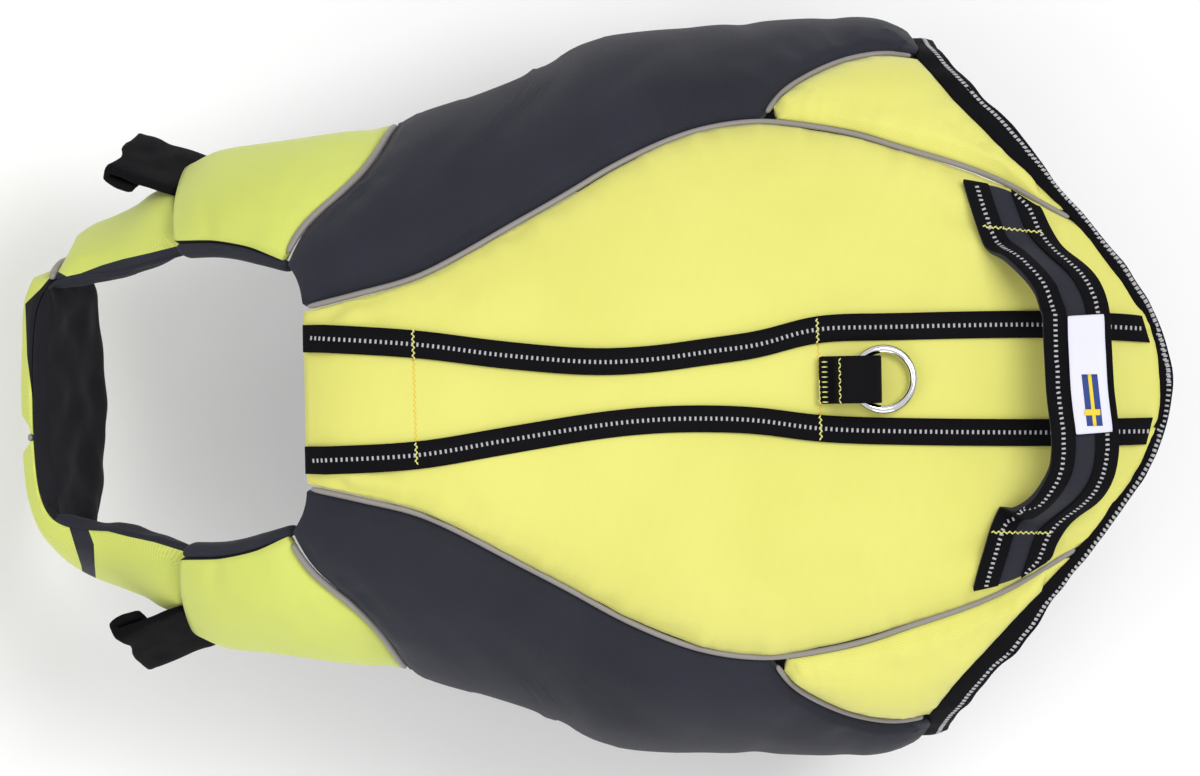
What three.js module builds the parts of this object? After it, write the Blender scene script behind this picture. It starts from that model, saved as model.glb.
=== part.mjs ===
// Dog life jacket, filled out as if worn, with nobody in it. Millimetres, +Z up.
// The head end is towards -X and the dog's right side is +Y. The origin is on
// the inner face of the back, at the middle of its centre strip.

import * as THREE from 'three';

// Walls, measured outwards from the inner face
const FOAM = 12;
const FOAM_UNDER_TAPES = 9;
const SHOULDER_FOAM = 10;
const BELLY_FOAM = 6;
const SEAM_HEIGHT = 4;
const BELLY_EDGE = 3;
const COLLAR_OUTER = 9;
const COLLAR_LINING = 9;
const COLLAR_EDGE = 1.5;
const SHOULDER_EDGE = 6;
const CENTRE_CROWN = 1.5;
const FLAT_UNDER_TAPE = 8;
const ROUNDING = 30;
const REAR_SIDE_ROUNDING = 22;
const BELLY_ROUNDING = 12;
const FARTHEST_ANGLE = 200;
const BACK_FRONT = -181;
const BACK_ROWS = 40;
const SIDE_ACROSS = [0, 0.05, 0.14, 0.28, 0.44, 0.6, 0.75, 0.88, 0.96, 1];

// Trims
const GAP = 0.3;
const PIPING_RADIUS = 1.45;
const PIPING_CUT = PIPING_RADIUS + 0.45;

// The share of its seam that each cord of piping fills
const BACK_PIPING = { from: 0.004, to: 0.985 };
const REAR_PIPING = { from: 0.06, to: 0.985 };
const SHOULDER_PIPING = { from: 0.01, to: 0.97 };
const CHEST_PIPING = { from: 0.01, to: 0.99 };

const TAPE_WIDTH = 11;
const TAPE_THICKNESS = 1.5;
const FASTENER_LENGTH = 90;
const FASTENER_WIDTH = 50;
const FASTENER_THICKNESS = 1.2;
const OVERLAP_ROOM = 3.4;
const OVERLAP_START_ANGLE = 120;
const OVERLAP_FULL_ANGLE = 165;
const COLLAR_ROUNDING = 16;
const CHEST_LINING_Y = 49;
const COLLAR_STEPS = 40;
const COLLAR_SPLIT = 0.25;

// Binding, from the panel's edge outwards: its inner and outer face
const BINDING_PROFILE = [
  { out: 0, low: -0.8, high: 4.8 },
  { out: 3.5, low: -1, high: 5.2 },
  { out: 8, low: -0.8, high: 5 },
  { out: 10.5, low: 0.2, high: 3.8 },
  { out: 11, low: 1.4, high: 2.6 },
];

// The binding is pressed narrower round the tail than along the flanks
const BINDING_FULL_X = 112;
const BINDING_NARROW_X = 130;
const BINDING_NARROW_SHARE = 0.45;

// Neck facing's section: inwards from the shoulder's edge, and down in edge heights
const FACING_PROFILE = [
  { inward: 0.5, down: 0.05 },
  { inward: 3, down: 0 },
  { inward: 5.5, down: 0.5 },
  { inward: 4.5, down: 1.5 },
  { inward: 0.5, down: 1.5 },
];

// Fittings
const HANDLE_WIDTH = 28.5;
const HANDLE_THICKNESS = 2.4;
const HANDLE_STITCHED_Y = 66;
const HANDLE_END_ROOM = 3.4;
const HANDLE_STEPS = 38;
const HANDLE_TAPE_WIDTH = 10;
const HANDLE_TAPE_THICKNESS = 1;
const LABEL_WIDTH = 15.5;
const LABEL_LENGTH = 45;
const LABEL_THICKNESS = 0.7;
const LOOP_WIDTH = 20;
const LOOP_THICKNESS = 1.5;
const LOOP_START = 33;
const RING_CENTRE = 60;
const RING_RADIUS = 12.8;
const RING_WIRE = 2.1;
const LABEL_MIDDLE_Y = 3.4;
const LABEL_ACROSS = 3.6;
const HANDLE_SEAT = 0.6;
const LOOP_SEAT = 0.4;
const WIRE_CLEARANCE = 0.7;
const ARCH_RADIUS = 11.3;
const ARCH_START = -8;
const ARCH_END = 118;

// The leash loop's lower run as it turns up, back from the arch's far side
const LOOP_TURN = [
  { back: 2.2, rise: 0 },
  { back: 0.6, rise: 0.5 },
];

// The leash loop's upper run as it comes down, past its stitched start
const LOOP_FALL = [
  { along: 7.6, rise: 4.5 },
  { along: 6.2, rise: 0.6 },
  { along: 5, rise: 0 },
];
const RING_DROOP = 4.5;
const TAB_WIDTH = 44;
const TAB_FROM = 0.42;
const TAB_TO = 0.98;
const TAB_SPLAY = 0.08;
const TAB_FALL = -0.12;
const TAB_THICKNESS = 2;

// The general figure inside the jacket: half the width, and the top and bottom, of each section
const SQUARENESS = 2.4;
const FIGURE = [
  { x: -245, half_width: 85, top: -51, bottom: -187 },
  { x: -233, half_width: 91.5, top: -42, bottom: -187 },
  { x: -218, half_width: 99, top: -29, bottom: -190 },
  { x: -200, half_width: 101.5, top: -15, bottom: -196 },
  { x: -182, half_width: 104, top: -5, bottom: -200 },
  { x: -155, half_width: 108.5, top: 0, bottom: -206 },
  { x: -120, half_width: 117.5, top: 1, bottom: -212 },
  { x: -81, half_width: 131, top: 0, bottom: -215 },
  { x: -55, half_width: 136.5, top: 0, bottom: -213 },
  { x: 0, half_width: 140.5, top: 0, bottom: -206 },
  { x: 60, half_width: 142.5, top: -1, bottom: -196 },
  { x: 120, half_width: 142, top: -5, bottom: -187 },
  { x: 185, half_width: 137, top: -13, bottom: -178 },
];

// Seams and edges seen from above: x along the back, y out from the middle
const BACK_SEAM = [
  { x: -181, y: 37.8 },
  { x: -158, y: 43.5 },
  { x: -134, y: 50 },
  { x: -92, y: 72 },
  { x: -70, y: 84 },
  { x: -49, y: 96 },
  { x: -17, y: 109 },
  { x: 9, y: 112.6 },
  { x: 26, y: 111 },
  { x: 50, y: 106.5 },
  { x: 67, y: 101 },
  { x: 85, y: 95.5 },
  { x: 97, y: 91.5 },
  { x: 114, y: 84 },
  { x: 130, y: 74.5 },
  { x: 140, y: 69 },
];
const REAR_SIDE_SEAM = [
  { x: 13, y: 116 },
  { x: 20, y: 124.5 },
  { x: 32, y: 132 },
  { x: 47, y: 138 },
  { x: 62, y: 140.5 },
  { x: 76, y: 139 },
];
const SHOULDER_SEAM = [
  { x: -142, y: 114 },
  { x: -152, y: 99 },
  { x: -163, y: 87.6 },
  { x: -176, y: 78 },
  { x: -185, y: 68.5 },
  { x: -188, y: 58 },
];
const NECK_CORNER = [
  { x: -188, y: 58 },
  { x: -182.6, y: 49 },
  { x: -181, y: 37.8 },
];
const SHOULDER_NECK_EDGE = [
  { x: -188, y: 58 },
  { x: -202, y: 63.4 },
  { x: -216, y: 66.4 },
  { x: -232.7, y: 66.5 },
];
const SHOULDER_FRONT_EDGE = [
  { x: -232.7, y: 66.5 },
  { x: -233, y: 84 },
  { x: -230.5, y: 92 },
  { x: -226, y: 99.5 },
  { x: -219, y: 104 },
];
const HEM_INNER_EDGE = [
  { x: 176, y: 0 },
  { x: 173.5, y: 15 },
  { x: 167, y: 31.5 },
  { x: 157.5, y: 46 },
  { x: 149, y: 57.5 },
  { x: 140, y: 69 },
  { x: 130, y: 80 },
  { x: 118, y: 91.5 },
  { x: 105, y: 106 },
  { x: 92, y: 119.5 },
  { x: 76, y: 139 },
];

// Where the leg opening and the side's lower seam run, as an angle round the section
const SIDE_LOWER_EDGE = [
  { x: -219, angle: 85 },
  { x: -208, angle: 84.5 },
  { x: -190, angle: 84 },
  { x: -142, angle: 84 },
  { x: -110, angle: 84 },
  { x: -84, angle: 85 },
  { x: -73, angle: 90 },
  { x: -60, angle: 95 },
  { x: -30, angle: 97 },
  { x: 68, angle: 97 },
];
const BELLY_FRONT_EDGE = [
  { x: -73, angle: 92 },
  { x: -72, angle: 115 },
  { x: -66, angle: 150 },
  { x: -62, angle: 191 },
];
const BELLY_REAR_EDGE = [
  { x: 68, angle: 97 },
  { x: 62, angle: 120 },
  { x: 55, angle: 155 },
  { x: 52, angle: 191 },
];

// The centre strip between the tapes' middles, and how far it drifts off the axis
const CENTRE_STRIP = [
  { x: -181, half_width: 25.8, drift: -0.6 },
  { x: -136, half_width: 23.2, drift: -1.6 },
  { x: -99, half_width: 17.9, drift: -1.5 },
  { x: -62, half_width: 13.5, drift: -0.6 },
  { x: -37, half_width: 12.7, drift: 0.8 },
  { x: -12, half_width: 14.1, drift: 2.3 },
  { x: 8, half_width: 16, drift: 2.9 },
  { x: 32, half_width: 20.6, drift: 4 },
  { x: 62, half_width: 21.8, drift: 3.4 },
  { x: 127, half_width: 22.6, drift: 2.4 },
  { x: 176, half_width: 21.3, drift: 0.8 },
];

// The padded collar: its upper and lower edges and how far it bulges between them,
// from the right shoulder to the middle of the chest
const COLLAR = [
  { upper_x: -231, upper_y: 62.5, upper_z: -63, lower_x: -226, lower_y: 93, lower_z: -110, crown: 12 },
  { upper_x: -247, upper_y: 58.5, upper_z: -75, lower_x: -239, lower_y: 81, lower_z: -124, crown: 6 },
  { upper_x: -263, upper_y: 55, upper_z: -89, lower_x: -255, lower_y: 73, lower_z: -138, crown: 4 },
  { upper_x: -277, upper_y: 54, upper_z: -100, lower_x: -267, lower_y: 68, lower_z: -149, crown: 3 },
  { upper_x: -289, upper_y: 51, upper_z: -107, lower_x: -274, lower_y: 60, lower_z: -156, crown: 3 },
  { upper_x: -295.5, upper_y: 41, upper_z: -111, lower_x: -275, lower_y: 46, lower_z: -161, crown: 3 },
  { upper_x: -298, upper_y: 22, upper_z: -113, lower_x: -273, lower_y: 24, lower_z: -164, crown: 3 },
  { upper_x: -298.5, upper_y: 0, upper_z: -114, lower_x: -272, lower_y: 0, lower_z: -165, crown: 3 },
];
const CHEST_SEAM_RIGHT_Y = 51.5;
const CHEST_SEAM_LEFT_Y = -14;

// The handle, from its left end to its right: how far it stands off the back, and its tilt
const HANDLE = [
  { y: -92, x: 108.5, lift: 0, tilt: 0 },
  { y: -81, x: 111, lift: 0, tilt: 0 },
  { y: -71, x: 114, lift: 0, tilt: 0 },
  { y: -60, x: 117.5, lift: 0, tilt: 0 },
  { y: -53, x: 122.5, lift: 6, tilt: 12 },
  { y: -45, x: 131, lift: 15, tilt: 18 },
  { y: -34, x: 138, lift: 22, tilt: 12 },
  { y: -20, x: 139, lift: 27, tilt: 8 },
  { y: -3, x: 137, lift: 29, tilt: 6 },
  { y: 15, x: 136.5, lift: 28, tilt: 6 },
  { y: 30, x: 136, lift: 25, tilt: 10 },
  { y: 40, x: 131.5, lift: 20, tilt: 16 },
  { y: 49, x: 123.5, lift: 12, tilt: 18 },
  { y: 57, x: 118, lift: 4, tilt: 8 },
  { y: 64, x: 115, lift: 0, tilt: 0 },
  { y: 72, x: 112.5, lift: 0, tilt: 0 },
  { y: 81, x: 110, lift: 0, tilt: 0 },
  { y: 92, x: 107.5, lift: 0, tilt: 0 },
];

// A strap tab: how far along it is, how far it stands off, for its upper and its turned-under run
const TAB = [
  { along: 6.2, off: -0.6 },
  { along: 12, off: 0.6 },
  { along: 21, off: 2.2 },
  { along: 30, off: 5 },
  { along: 35.5, off: 5 },
  { along: 36.5, off: 1.5 },
  { along: 32, off: -0.6 },
  { along: 25, off: -1.4 },
];

const YELLOW = { color: 0xf0ee82, roughness: 0.75 };
const DEEP_YELLOW = { color: 0xd8e278, roughness: 0.78 };
const GREY = { color: 0x363742, roughness: 0.85 };
const LINING = { color: 0x25252c, roughness: 0.9 };
const WEBBING = { color: 0x0d0d10, roughness: 0.8 };
const PIPING = { color: 0x9a9490, roughness: 0.6 };
const LABEL = { color: 0xe8e8f5, roughness: 0.6 };
const STEEL = { color: 0xd8dade, roughness: 0.15, metalness: 1 };

// Reads a column of a table at any place, on a smooth curve through its rows
function readTable(rows, key, column, value) {
  const last = rows.length - 1;
  let index = 0;
  while (index < last - 1 && value > rows[index + 1][key]) {
    index += 1;
  }
  const slope = (k) => {
    const before = rows[Math.max(k - 1, 0)];
    const after = rows[Math.min(k + 1, last)];
    return (after[column] - before[column]) / (after[key] - before[key]);
  };
  const from = rows[index];
  const to = rows[index + 1];
  const span = to[key] - from[key];
  const t = THREE.MathUtils.clamp((value - from[key]) / span, 0, 1);
  const beyond = value - from[key] - t * span;
  const hermite = (from[column] * (1 + 2 * t) + slope(index) * span * t) * (1 - t) ** 2
    + (to[column] * (3 - 2 * t) - slope(index + 1) * span * (1 - t)) * t ** 2;
  return hermite + beyond * slope(beyond > 0 ? last : 0);
}

// The figure's section at x, and its point at an angle from the top
function sectionPoint(x, degrees) {
  const halfWidth = readTable(FIGURE, 'x', 'half_width', x);
  const top = readTable(FIGURE, 'x', 'top', x);
  const bottom = readTable(FIGURE, 'x', 'bottom', x);
  const angle = THREE.MathUtils.degToRad(degrees);
  const round = (value) => Math.sign(value) * Math.abs(value) ** (2 / SQUARENESS);
  const y = halfWidth * round(Math.sin(angle));
  const z = (top + bottom) / 2 + (top - bottom) / 2 * round(Math.cos(angle));
  return new THREE.Vector3(x, y, z);
}

// Lengths round the section, degree by degree, kept for each half millimetre of x
const girthTables = new Map();
function girthTable(x) {
  const key = Math.round(x * 2);
  if (!girthTables.has(key)) {
    const lengths = [0];
    let before = sectionPoint(key / 2, 0);
    for (let degrees = 1; degrees <= FARTHEST_ANGLE; degrees += 1) {
      const point = sectionPoint(key / 2, degrees);
      lengths.push(lengths[degrees - 1] + point.distanceTo(before));
      before = point;
    }
    girthTables.set(key, lengths);
  }
  return girthTables.get(key);
}

function girthAtAngle(x, degrees) {
  const lengths = girthTable(x);
  const whole = Math.min(Math.floor(degrees), FARTHEST_ANGLE - 1);
  return THREE.MathUtils.lerp(lengths[whole], lengths[whole + 1], degrees - whole);
}

// A point of the figure's skin: x along the back, and the girth round from the spine, + to the right
function skin(x, girth) {
  const lengths = girthTable(x);
  const length = Math.abs(girth);
  let whole = 0;
  while (whole < FARTHEST_ANGLE - 1 && lengths[whole + 1] < length) {
    whole += 1;
  }
  const part = (length - lengths[whole]) / (lengths[whole + 1] - lengths[whole]);
  const point = sectionPoint(x, whole + part);
  point.y *= girth < 0 ? -1 : 1;
  return point;
}

// The same point moved out from the skin
function onBody(x, girth, height) {
  const along = skin(x + 1, girth).sub(skin(x - 1, girth));
  const round = skin(x, girth + 1).sub(skin(x, girth - 1));
  const out = along.cross(round).normalize();
  return skin(x, girth).addScaledVector(out, height);
}

// The girth at which a seam lies that is seen from above at y
function girthAt(x, y, height) {
  let near = 0;
  let far = girthAtAngle(x, 92);
  for (let step = 0; step < 30; step += 1) {
    const middle = (near + far) / 2;
    if (onBody(x, middle, height).y < y) {
      near = middle;
    } else {
      far = middle;
    }
  }
  return (near + far) / 2;
}

const fromAbove = (rows) => rows.map((row) => [row.x, girthAt(row.x, row.y, SEAM_HEIGHT)]);
const fromAngles = (rows) => rows.map((row) => [row.x, girthAtAngle(row.x, row.angle)]);

// Points at equal or given fractions of a smooth line through flat points
function stations(points, fractions) {
  const line = new THREE.CatmullRomCurve3(
    points.map(([a, b]) => new THREE.Vector3(a, b, 0)),
    false,
    'centripetal',
  );
  line.arcLengthDivisions = 400;
  return fractions.map((fraction) => {
    const point = line.getPointAt(fraction);
    return [point.x, point.y];
  });
}

const even = (count) => Array.from({ length: count + 1 }, (unused, k) => k / count);

// A piece of a panel's outline: its points, how much is cut off it, and the wall's height there
function edge(points, cut, height, flat = 0) {
  return { points, cut, height, flat };
}

// Moves each corner of an outline inwards by what is cut off its two sides
function trimOutline(points, cuts) {
  const count = points.length;
  let area = 0;
  points.forEach(([a, b], k) => {
    const [c, d] = points[(k + 1) % count];
    area += a * d - b * c;
  });
  const turn = Math.sign(area);
  const inward = (k) => {
    const [a, b] = points[k];
    const [c, d] = points[(k + 1) % count];
    const length = Math.hypot(c - a, d - b);
    return [turn * (b - d) / length, turn * (c - a) / length];
  };
  return points.map(([a, b], k) => {
    const before = (k + count - 1) % count;
    const [n1, n2] = [inward(before), inward(k)];
    const [d1, d2] = [cuts[before], cuts[k]];
    const cross = n1[0] * n2[1] - n1[1] * n2[0];
    if (Math.abs(cross) < 0.3) {
      const size = Math.hypot(n1[0] + n2[0], n1[1] + n2[1]);
      const depth = (d1 + d2) / 2;
      return [a + depth * (n1[0] + n2[0]) / size, b + depth * (n1[1] + n2[1]) / size];
    }
    return [a + (d1 * n2[1] - d2 * n1[1]) / cross, b + (n1[0] * d2 - n2[0] * d1) / cross];
  });
}

// Where trimming moves the two ends of an edge along it, slides the points between them too
function slideAlong(outline, trimmed, start, length) {
  const count = outline.length;
  const at = (list, k) => list[(start + k) % count];
  const direction = (k) => {
    const [a, b] = at(outline, Math.max(k - 1, 0));
    const [c, d] = at(outline, Math.min(k + 1, length - 1));
    const size = Math.hypot(c - a, d - b);
    return [(c - a) / size, (d - b) / size];
  };
  const slide = (k) => {
    const [from, to] = [at(outline, k), at(trimmed, k)];
    const [dx, dy] = direction(k);
    return (to[0] - from[0]) * dx + (to[1] - from[1]) * dy;
  };
  const [first, last] = [slide(0), slide(length - 1)];
  const shares = lengthShares(Array.from({ length }, (unused, k) => at(outline, k)));
  for (let k = 1; k < length - 1; k += 1) {
    const shift = THREE.MathUtils.lerp(first, last, shares[k]);
    const [dx, dy] = direction(k);
    const point = at(trimmed, k);
    trimmed[(start + k) % count] = [point[0] + dx * shift, point[1] + dy * shift];
  }
}

function distanceToLine(point, line) {
  let nearest = Infinity;
  for (let k = 0; k < line.length - 1; k += 1) {
    const [a, b] = line[k];
    const [c, d] = line[k + 1];
    const squared = (c - a) ** 2 + (d - b) ** 2;
    const along = ((point[0] - a) * (c - a) + (point[1] - b) * (d - b)) / squared;
    const t = THREE.MathUtils.clamp(along, 0, 1);
    nearest = Math.min(nearest, Math.hypot(point[0] - a - t * (c - a), point[1] - b - t * (d - b)));
  }
  return nearest;
}

// How far along a line each of its points lies, from 0 to 1
function lengthShares(line) {
  const lengths = [0];
  for (let k = 1; k < line.length; k += 1) {
    lengths.push(lengths[k - 1] + Math.hypot(line[k][0] - line[k - 1][0], line[k][1] - line[k - 1][1]));
  }
  return lengths.map((length) => length / lengths[line.length - 1]);
}

// A panel's pattern: its trimmed outline, a grid over it, and the wall's height at any place.
// The four sides go round the panel, and each is a list of edges that follow each other.
function pattern(sides, middle, rounding = ROUNDING) {
  const outline = [];
  const cuts = [];
  const corners = [];
  const spans = [];
  sides.forEach((parts) => {
    corners.push(outline.length);
    parts.forEach((part) => {
      const start = outline.length;
      part.points.slice(0, -1).forEach((point) => {
        outline.push(point);
        cuts.push(part.cut);
      });
      spans.push({ start, length: part.points.length, part });
    });
  });
  const trimmed = trimOutline(outline, cuts);
  spans.forEach(({ start, length }) => slideAlong(outline, trimmed, start, length));
  const pick = (start, length) => (
    Array.from({ length }, (unused, k) => trimmed[(start + k) % trimmed.length])
  );
  const lines = spans.map(({ start, length, part }) => ({ line: pick(start, length), part }));
  const height = (point) => lines.reduce((lowest, { line, part }) => {
    const reach = THREE.MathUtils.clamp((distanceToLine(point, line) - part.flat) / rounding, 0, 1);
    const rise = Math.sqrt(1 - (1 - reach) ** 2);
    return Math.min(lowest, part.height + (middle - part.height) * rise);
  }, middle);
  const sideOf = (k) => {
    const next = k === 3 ? trimmed.length : corners[k + 1];
    return pick(corners[k], next - corners[k] + 1);
  };
  const top = sideOf(0);
  const rear = sideOf(1);
  const bottom = sideOf(2).reverse();
  const front = sideOf(3).reverse();
  const blend = (p, q, t) => [THREE.MathUtils.lerp(p[0], q[0], t), THREE.MathUtils.lerp(p[1], q[1], t)];
  const shares = (one, other) => {
    const [a, b] = [lengthShares(one), lengthShares(other)];
    return a.map((share, k) => (share + b[k]) / 2);
  };
  const alongShares = shares(top, bottom);
  const acrossShares = shares(front, rear);
  const grid = acrossShares.map((t, j) => alongShares.map((s, i) => {
    const long = blend(top[i], bottom[i], t);
    const cross = blend(front[j], rear[j], s);
    const flat = blend(blend(top[0], top[top.length - 1], s), blend(bottom[0], bottom[top.length - 1], s), t);
    return [long[0] + cross[0] - flat[0], long[1] + cross[1] - flat[1]];
  }));
  return { grid, height };
}

// A closed wall between two grids of points
function wall(outer, inner) {
  const rows = outer.length;
  const columns = outer[0].length;
  const positions = [];
  [outer, inner].forEach((grid) => grid.forEach((row) => row.forEach((point) => positions.push(...point))));
  const at = (layer, j, i) => (layer * rows + j) * columns + i;
  const faces = [];
  const quad = (a, b, c, d) => faces.push(a, b, c, a, c, d);
  for (let j = 0; j < rows - 1; j += 1) {
    for (let i = 0; i < columns - 1; i += 1) {
      quad(at(0, j, i), at(0, j, i + 1), at(0, j + 1, i + 1), at(0, j + 1, i));
      quad(at(1, j, i), at(1, j + 1, i), at(1, j + 1, i + 1), at(1, j, i + 1));
    }
  }
  for (let i = 0; i < columns - 1; i += 1) {
    quad(at(0, 0, i + 1), at(0, 0, i), at(1, 0, i), at(1, 0, i + 1));
    quad(at(0, rows - 1, i), at(0, rows - 1, i + 1), at(1, rows - 1, i + 1), at(1, rows - 1, i));
  }
  for (let j = 0; j < rows - 1; j += 1) {
    quad(at(0, j, 0), at(0, j + 1, 0), at(1, j + 1, 0), at(1, j, 0));
    quad(at(0, j + 1, columns - 1), at(0, j, columns - 1), at(1, j, columns - 1), at(1, j + 1, columns - 1));
  }
  return solid(positions, faces);
}

// A closed body swept through rings of points, each ring a convex outline
function sweep(rings) {
  const sides = rings[0].length;
  const positions = [];
  rings.forEach((ring) => ring.forEach((point) => positions.push(...point)));
  const faces = [];
  for (let k = 0; k < rings.length - 1; k += 1) {
    for (let side = 0; side < sides; side += 1) {
      const beside = (side + 1) % sides;
      const [a, b] = [k * sides + side, k * sides + beside];
      const [c, d] = [b + sides, a + sides];
      faces.push(a, b, c, a, c, d);
    }
  }
  const last = (rings.length - 1) * sides;
  for (let side = 1; side < sides - 1; side += 1) {
    faces.push(0, side + 1, side, last, last + side, last + side + 1);
  }
  return solid(positions, faces);
}

// A mesh geometry with its faces turned outwards
function solid(positions, faces) {
  let volume = 0;
  const [a, b, c] = [new THREE.Vector3(), new THREE.Vector3(), new THREE.Vector3()];
  for (let k = 0; k < faces.length; k += 3) {
    a.fromArray(positions, faces[k] * 3);
    b.fromArray(positions, faces[k + 1] * 3);
    c.fromArray(positions, faces[k + 2] * 3);
    volume += a.dot(b.cross(c));
  }
  if (volume < 0) {
    for (let k = 0; k < faces.length; k += 3) {
      [faces[k + 1], faces[k + 2]] = [faces[k + 2], faces[k + 1]];
    }
  }
  const geometry = new THREE.BufferGeometry();
  geometry.setAttribute('position', new THREE.Float32BufferAttribute(positions, 3));
  geometry.setIndex(faces);
  geometry.computeVertexNormals();
  return geometry;
}

const jacket = new THREE.Group();

function add(name, geometry, finish) {
  const mesh = new THREE.Mesh(geometry, new THREE.MeshStandardMaterial(finish));
  mesh.name = name;
  jacket.add(mesh);
}

// Builds a panel of the body on one side of it: hand is 1 for the right and -1 for the left
function bodyPanel(name, hand, { grid, height }, finish, lift = () => 0) {
  const layer = (raise) => grid.map((row) => row.map(([x, girth]) => (
    onBody(x, hand * girth, raise([x, girth]) + lift(girth))
  )));
  add(name, wall(layer(height), layer(() => 0)), finish);
}

// A flat trim that lies along a line on the body. Across it, low and high give its two faces
function bodyTrim(name, hand, line, profile, finish) {
  const across = (k) => {
    const before = line[Math.max(k - 1, 0)];
    const after = line[Math.min(k + 1, line.length - 1)];
    const length = Math.hypot(after[0] - before[0], after[1] - before[1]);
    return [(before[1] - after[1]) / length, (after[0] - before[0]) / length];
  };
  const layer = (face) => line.map(([x, girth], k) => {
    const [dx, dg] = across(k);
    return profile.map((row) => {
      const out = row.out(x);
      const place = [x + dx * out, girth + dg * out];
      const height = row[face](place[1], place);
      return onBody(place[0], hand * place[1], height);
    });
  });
  add(name, wall(layer('high'), layer('low')), finish);
}

// Piping is a round cord along a seam
function piping(name, points, finish) {
  const path = new THREE.CatmullRomCurve3(points, false, 'centripetal');
  const steps = points.length - 1;
  const rings = points.map((point, k) => {
    const tangent = path.getTangent(k / steps);
    const side = new THREE.Vector3(0, 0, 1).cross(tangent);
    if (side.length() < 0.3) {
      side.set(0, 1, 0).cross(tangent);
    }
    side.normalize();
    const up = tangent.clone().cross(side).normalize();
    return even(6).slice(0, -1).map((turn) => {
      const angle = turn * Math.PI * 2;
      return point.clone()
        .addScaledVector(side, PIPING_RADIUS * Math.cos(angle))
        .addScaledVector(up, PIPING_RADIUS * Math.sin(angle));
    });
  });
  add(name, sweep(rings), finish);
}

// Body seams as flat lines, and the points along them
const backSeam = fromAbove(BACK_SEAM);
const rearSideSeam = fromAbove(REAR_SIDE_SEAM);
const shoulderSeam = fromAbove(SHOULDER_SEAM);
const hemInner = fromAbove(HEM_INNER_EDGE);
const sideLower = fromAngles(SIDE_LOWER_EDGE);
const flapFront = fromAngles(BELLY_FRONT_EDGE);
const flapRear = fromAngles(BELLY_REAR_EDGE);

const cutLine = (points, from, to, count) => (
  stations(points, even(count).map((t) => THREE.MathUtils.lerp(from, to, t)))
);

// How far along a line its points reach a value of x
function fractionAt(points, x) {
  const line = stations(points, even(400));
  const rising = line[400][0] > line[0][0];
  const index = line.findIndex((point) => (rising ? point[0] >= x : point[0] <= x));
  return (index < 0 ? 400 : index) / 400;
}

const stripEdge = (x, hand) => {
  const halfWidth = readTable(CENTRE_STRIP, 'x', 'half_width', x);
  const drift = readTable(CENTRE_STRIP, 'x', 'drift', x);
  return girthAt(x, halfWidth + hand * drift, FOAM_UNDER_TAPES);
};
const hemAtStrip = (hand) => {
  const misses = stations(hemInner, even(400)).map(([x, girth]) => Math.abs(girth - stripEdge(x, hand)));
  return misses.indexOf(Math.min(...misses)) / 400;
};
const hemStripFraction = { 1: hemAtStrip(1), [-1]: hemAtStrip(-1) };
const hemBackFraction = fractionAt(hemInner, BACK_SEAM[BACK_SEAM.length - 1].x);

const stripLine = (hand, count) => {
  const [endX] = stations(hemInner, [hemStripFraction[hand]])[0];
  return even(count).map((t) => {
    const x = THREE.MathUtils.lerp(BACK_FRONT, endX, t);
    return [x, stripEdge(x, hand)];
  });
};

// Back: a centre strip under the two tapes, and a panel on each side of it
const backPatterns = {};
[1, -1].forEach((hand) => {
  const inner = stripLine(hand, BACK_ROWS);
  const outer = cutLine(backSeam, 0, 1, BACK_ROWS);
  const ends = [0, 0.07, 0.18, 0.4, 0.7, 0.9, 1];
  const rear = stations(
    stations(hemInner, even(40).map((t) => THREE.MathUtils.lerp(hemStripFraction[hand], hemBackFraction, t))),
    ends,
  );
  const front = stations([outer[0], inner[0]], ends);
  rear[0] = inner[BACK_ROWS];
  rear[ends.length - 1] = outer[BACK_ROWS];
  backPatterns[hand] = pattern([
    [edge(inner, GAP / 2, FOAM_UNDER_TAPES, FLAT_UNDER_TAPE)],
    [edge(rear, GAP, SEAM_HEIGHT)],
    [edge([...outer].reverse(), PIPING_CUT, SEAM_HEIGHT)],
    [edge(front, 0, SEAM_HEIGHT)],
  ], FOAM);
  bodyPanel(hand > 0 ? 'back_right' : 'back_left', hand, backPatterns[hand], YELLOW);
});

let centrePattern;
const stripSides = { 1: stripLine(1, BACK_ROWS), [-1]: stripLine(-1, BACK_ROWS) };
{
  const across = [0, 0.5, 1];
  const hemAcross = (hand) => cutLine(hemInner, 0, hemStripFraction[hand], 1);
  const rearRight = hemAcross(1);
  const rearLeft = hemAcross(-1).map(([x, girth]) => [x, -girth]);
  const right = stripSides[1].map((point) => [...point]);
  const left = stripSides[-1].map(([x, girth]) => [x, -girth]);
  const rear = [...[...rearRight].reverse(), ...rearLeft.slice(1)];
  rear[0] = right[BACK_ROWS];
  rear[rear.length - 1] = left[BACK_ROWS];
  const front = stations([left[0], right[0]], across);
  front[0] = left[0];
  front[front.length - 1] = right[0];
  centrePattern = pattern([
    [edge(right, GAP / 2, FOAM_UNDER_TAPES, FLAT_UNDER_TAPE)],
    [edge(rear, GAP, SEAM_HEIGHT)],
    [edge([...left].reverse(), GAP / 2, FOAM_UNDER_TAPES, FLAT_UNDER_TAPE)],
    [edge(front, 0, SEAM_HEIGHT)],
  ], FOAM_UNDER_TAPES + CENTRE_CROWN);
  bodyPanel('back_centre', 1, centrePattern, YELLOW);
}

// The wall's height under anything that lies on the back
function backHeight(x, girth) {
  const side = backPatterns[girth < 0 ? -1 : 1];
  const aside = Math.abs(girth);
  const seam = stripEdge(x, Math.sign(girth) || 1);
  const nearSeam = Math.abs(aside - seam) < 0.5;
  if (nearSeam) {
    return Math.max(side.height([x, aside]), centrePattern.height([x, girth]));
  }
  return aside > seam ? side.height([x, aside]) : centrePattern.height([x, girth]);
}

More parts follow.
